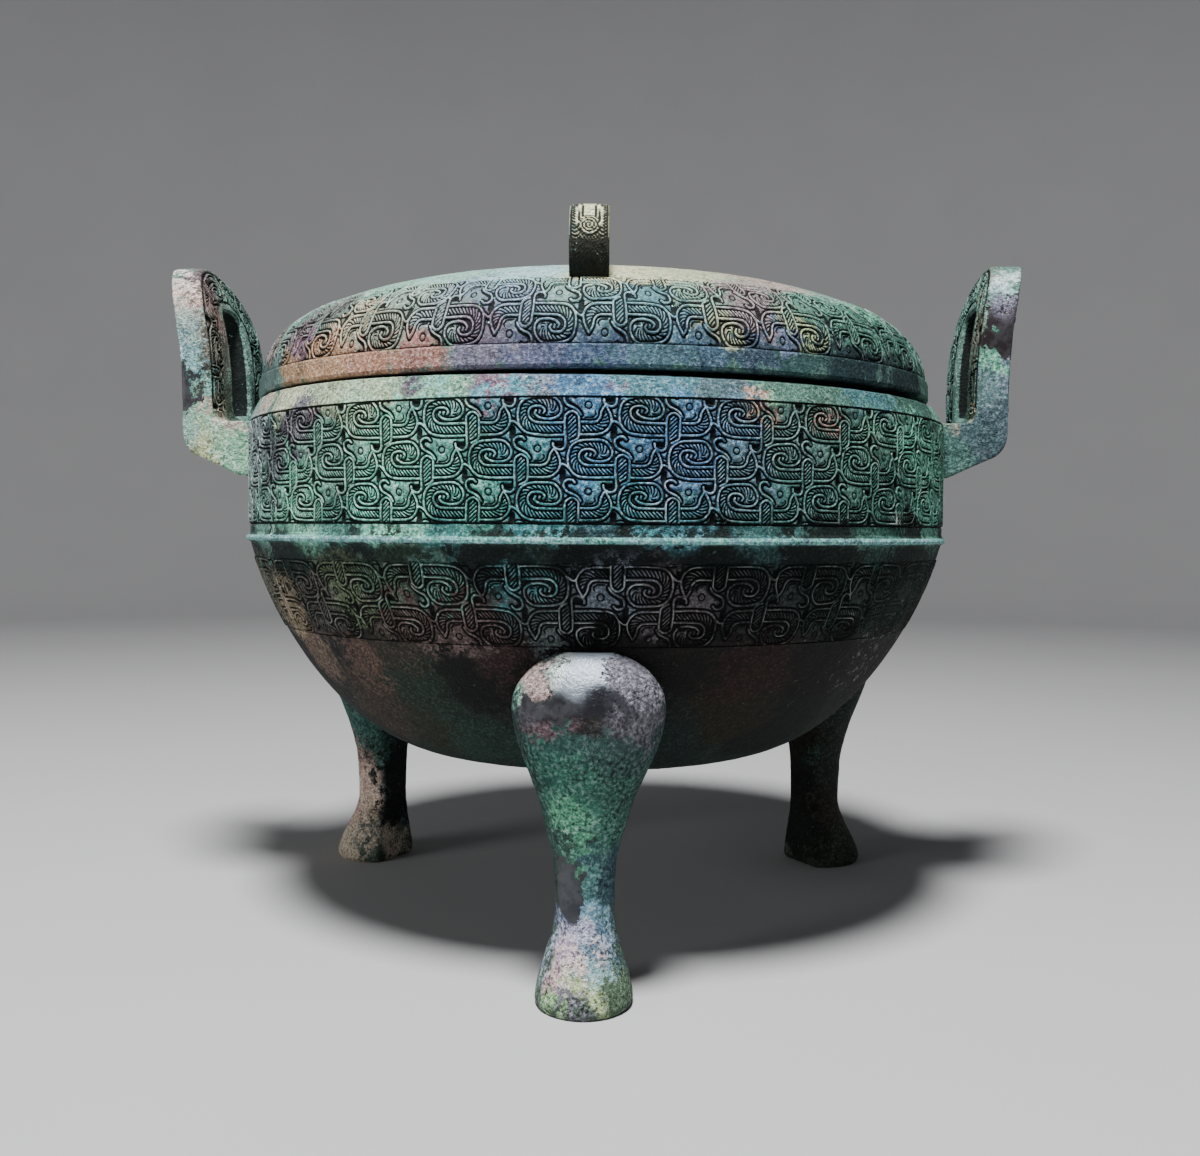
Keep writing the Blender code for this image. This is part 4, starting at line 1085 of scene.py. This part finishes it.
def patinatedBronze(name, **changes):
    # cast tin bronze, buried for centuries: matte copper carbonate crust over a dark, faintly shiny skin
    k = {**bronzeFinish, **changes}
    material, tree, shader, place = newMaterial(name)

    def layer(name, output="Color"):
        return addNode(tree, "Attribute", attribute_name=name).outputs[output]

    def noise(size, detail, rough=0.6):  # size of its features in millimetres
        inputs = {"Vector": place, "Scale": 1000 / size, "Detail": detail, "Roughness": rough}
        return addNode(tree, "TexNoise", inputs).outputs["Fac"]

    def ranged(value, low, high, toLow=0.0, toHigh=1.0):
        inputs = {"Value": value, "From Min": low, "From Max": high, "To Min": toLow, "To Max": toHigh}
        return addNode(tree, "MapRange", inputs, interpolation_type="SMOOTHSTEP").outputs["Result"]

    def mixed(amount, first, second, blend="MIX"):
        return addNode(tree, "Mix", {0: amount, 6: first, 7: second}, data_type="RGBA", blend_type=blend).outputs[2]

    def both(first, second, operation="MULTIPLY"):
        return addNode(tree, "Math", {0: first, 1: second}, operation=operation).outputs[0]

    grain = noise(k["grit"], 3, 0.72)
    islands = noise(k["islands"], 8, 0.72)
    blotch = noise(k["blotch"], 5, 0.62)
    relief = layer("relief", "Fac")
    colour = mixed(ranged(islands, 0.49, 0.53), layer("crust"), layer("underCrust"))
    colour = mixed(ranged(blotch, 0.53, 0.66, 0, 0.4), colour, opaque(k["blotchTint"]), "MULTIPLY")
    grimy = ranged(noise(k["grime"], 3), 0.38, 0.6, 0.5, 1)
    colour = mixed(both(ranged(grain, 0.36, 0.53, k["pepper"], 0), grimy), colour, opaque(k["pepperTint"]))
    faded = addNode(tree, "HueSaturation", {"Color": colour, "Saturation": 0.35, "Value": 1.15}).outputs["Color"]
    colour = mixed(ranged(grain, 0.51, 0.64, 0, k["salt"]), colour, faded, "SCREEN")
    colour = addNode(tree, "HueSaturation", {"Color": colour, "Saturation": k["saturation"]}).outputs["Color"]
    # the grooves are darkened by their relief: partly dirt in the hollows, partly painted shade
    grooveDirtAndShade = both(ranged(relief, k["dirtTop"], k["dirtTop"] - k["dirtAndShadeRange"]), k["dirt"])
    colour = mixed(grooveDirtAndShade, colour, opaque(k["dirtAndShadeTint"]))
    # the crests are paled: partly rubbed wear, partly a painted highlight on their lit tops
    rubbed = both(ranged(relief, 0.77, 0.95, 0, k["crest"]), ranged(noise(k["rubAndHighlightSize"], 4), 0.46, 0.62))
    colour = mixed(rubbed, colour, opaque(k["crestWearAndHighlightTint"]))
    edge = both(both(both(islands, 0.5, "SUBTRACT"), 2.4), both(both(grain, 0.5, "SUBTRACT"), 1.6), "ADD")
    bare = ranged(both(layer("bare", "Fac"), edge, "ADD"), 0.4, 0.46)
    skin = mixed(ranged(blotch, 0.42, 0.6, 0, 0.3), layer("skin"), opaque(k["skinTint"]))
    grainy = both(grain, both(noise(k["fineGrit"], 2), 0.35), "ADD")
    bump = addNode(tree, "Bump", {"Height": both(grainy, ranged(bare, 0, 1, 1, 0.12)), "Strength": 1.0,
                                  "Distance": k["bumpHeight"]})
    for socket, value in {
        "Base Color": mixed(bare, colour, skin),
        "Roughness": ranged(bare, 0, 1, k["crustRough"], k["bareRough"]),
        "Metallic": ranged(bare, 0, 1, k["crustMetal"], k["bareMetal"]),
        "Specular IOR Level": ranged(bare, 0, 1, k["crustGloss"], k["bareGloss"]),
        "Normal": bump.outputs["Normal"],
    }.items():
        tree.links.new(value, shader.inputs[socket])
    return material


vesselBronze = patinatedBronze("patinatedCastBronze")
legBronze = patinatedBronze("grittyPatinatedBronze", grit=1.1, pepper=0.9, bumpHeight=0.0024)
lidBronze = patinatedBronze("patinatedCastBronzeLid", pepper=0.65, salt=0.8, bumpHeight=0.0011, dirtTop=0.78)

riders = [
    (["vessel"], "vessel_bronze", vesselBronze, [bowl] + bandPieces + handles[0] + handles[1] + legs[1:]),
    (["vessel"], "vessel_bronze", legBronze, legs[:1]),
    (["lid"], "lid_bronze", lidBronze, [lid, lidBand] + loops),
]
for nodes, slotName, material, pieces in riders:
    for piece in pieces:
        piece.data.materials.clear()
        piece.data.materials.append(material)
        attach(piece, "root")
        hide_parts(*nodes)
        triangles = sum(len(face.vertices) - 2 for face in piece.data.polygons)
        print(piece.name, triangles, "triangles")


# Floor and light: a pale sweep under soft studio lamps

floorShape = dict(flat=1.6, bend=0.9, height=1.6, steps=96, tints=("#b2b2b4", "#b9b9ba"), rough=0.9)  # metres

flat, bend = floorShape["flat"], floorShape["bend"]
floorLine = [(0, 0), (0.4, 0), (0.9, 0), (flat, 0)]
floorLine += [(flat + bend * math.sin(a), bend * (1 - math.cos(a))) for a in np.linspace(0.1, math.pi / 2, 16)]
floorLine.append((flat + bend, floorShape["height"]))
floor = turnedForm("paleFloor", [(r / mm, z / mm) for r, z in floorLine], floorShape["steps"])
setMode("EDIT")
selectAll()
bpy.ops.mesh.flip_normals()
setMode("OBJECT")
bpy.ops.object.shade_smooth()
floorPaper, tree, shader, place = newMaterial("palePaperSweep")  # matte background paper
shade = addNode(tree, "TexNoise", {"Vector": place, "Scale": 6.0, "Detail": 3.0}).outputs["Fac"]
darker, paler = (opaque(tint) for tint in floorShape["tints"])
paper = addNode(tree, "Mix", {0: shade, 6: darker, 7: paler}, data_type="RGBA")
tree.links.new(paper.outputs[2], shader.inputs["Base Color"])
shader.inputs["Roughness"].default_value = floorShape["rough"]
floor.data.materials.append(floorPaper)

lamps = dict(
    overheadSoftbox=dict(place=(-0.05, -0.52, 1.35), target=(0, 0, 0.12), size=0.3, power=44),
    leftFill=dict(place=(-1.35, -1.0, 0.5), target=(0, 0, 0.1), size=0.7, power=7),
)
airTint, airPower = "#e9ecf0", 0.06

for name, k in lamps.items():
    lamp = bpy.data.lights.new(name, "AREA")
    lamp.shape = "DISK"
    lamp.size = k["size"]
    lamp.energy = k["power"]
    holder = bpy.data.objects.new(name, lamp)
    bpy.context.scene.collection.objects.link(holder)
    holder.location = k["place"]
    holder.rotation_euler = (Vector(k["target"]) - Vector(k["place"])).to_track_quat("-Z", "Y").to_euler()

world = bpy.data.worlds.new("studioAir")
bpy.context.scene.world = world
world.use_nodes = True
world.node_tree.nodes["Background"].inputs["Color"].default_value = opaque(airTint)
world.node_tree.nodes["Background"].inputs["Strength"].default_value = airPower
print("floor and lamps placed")
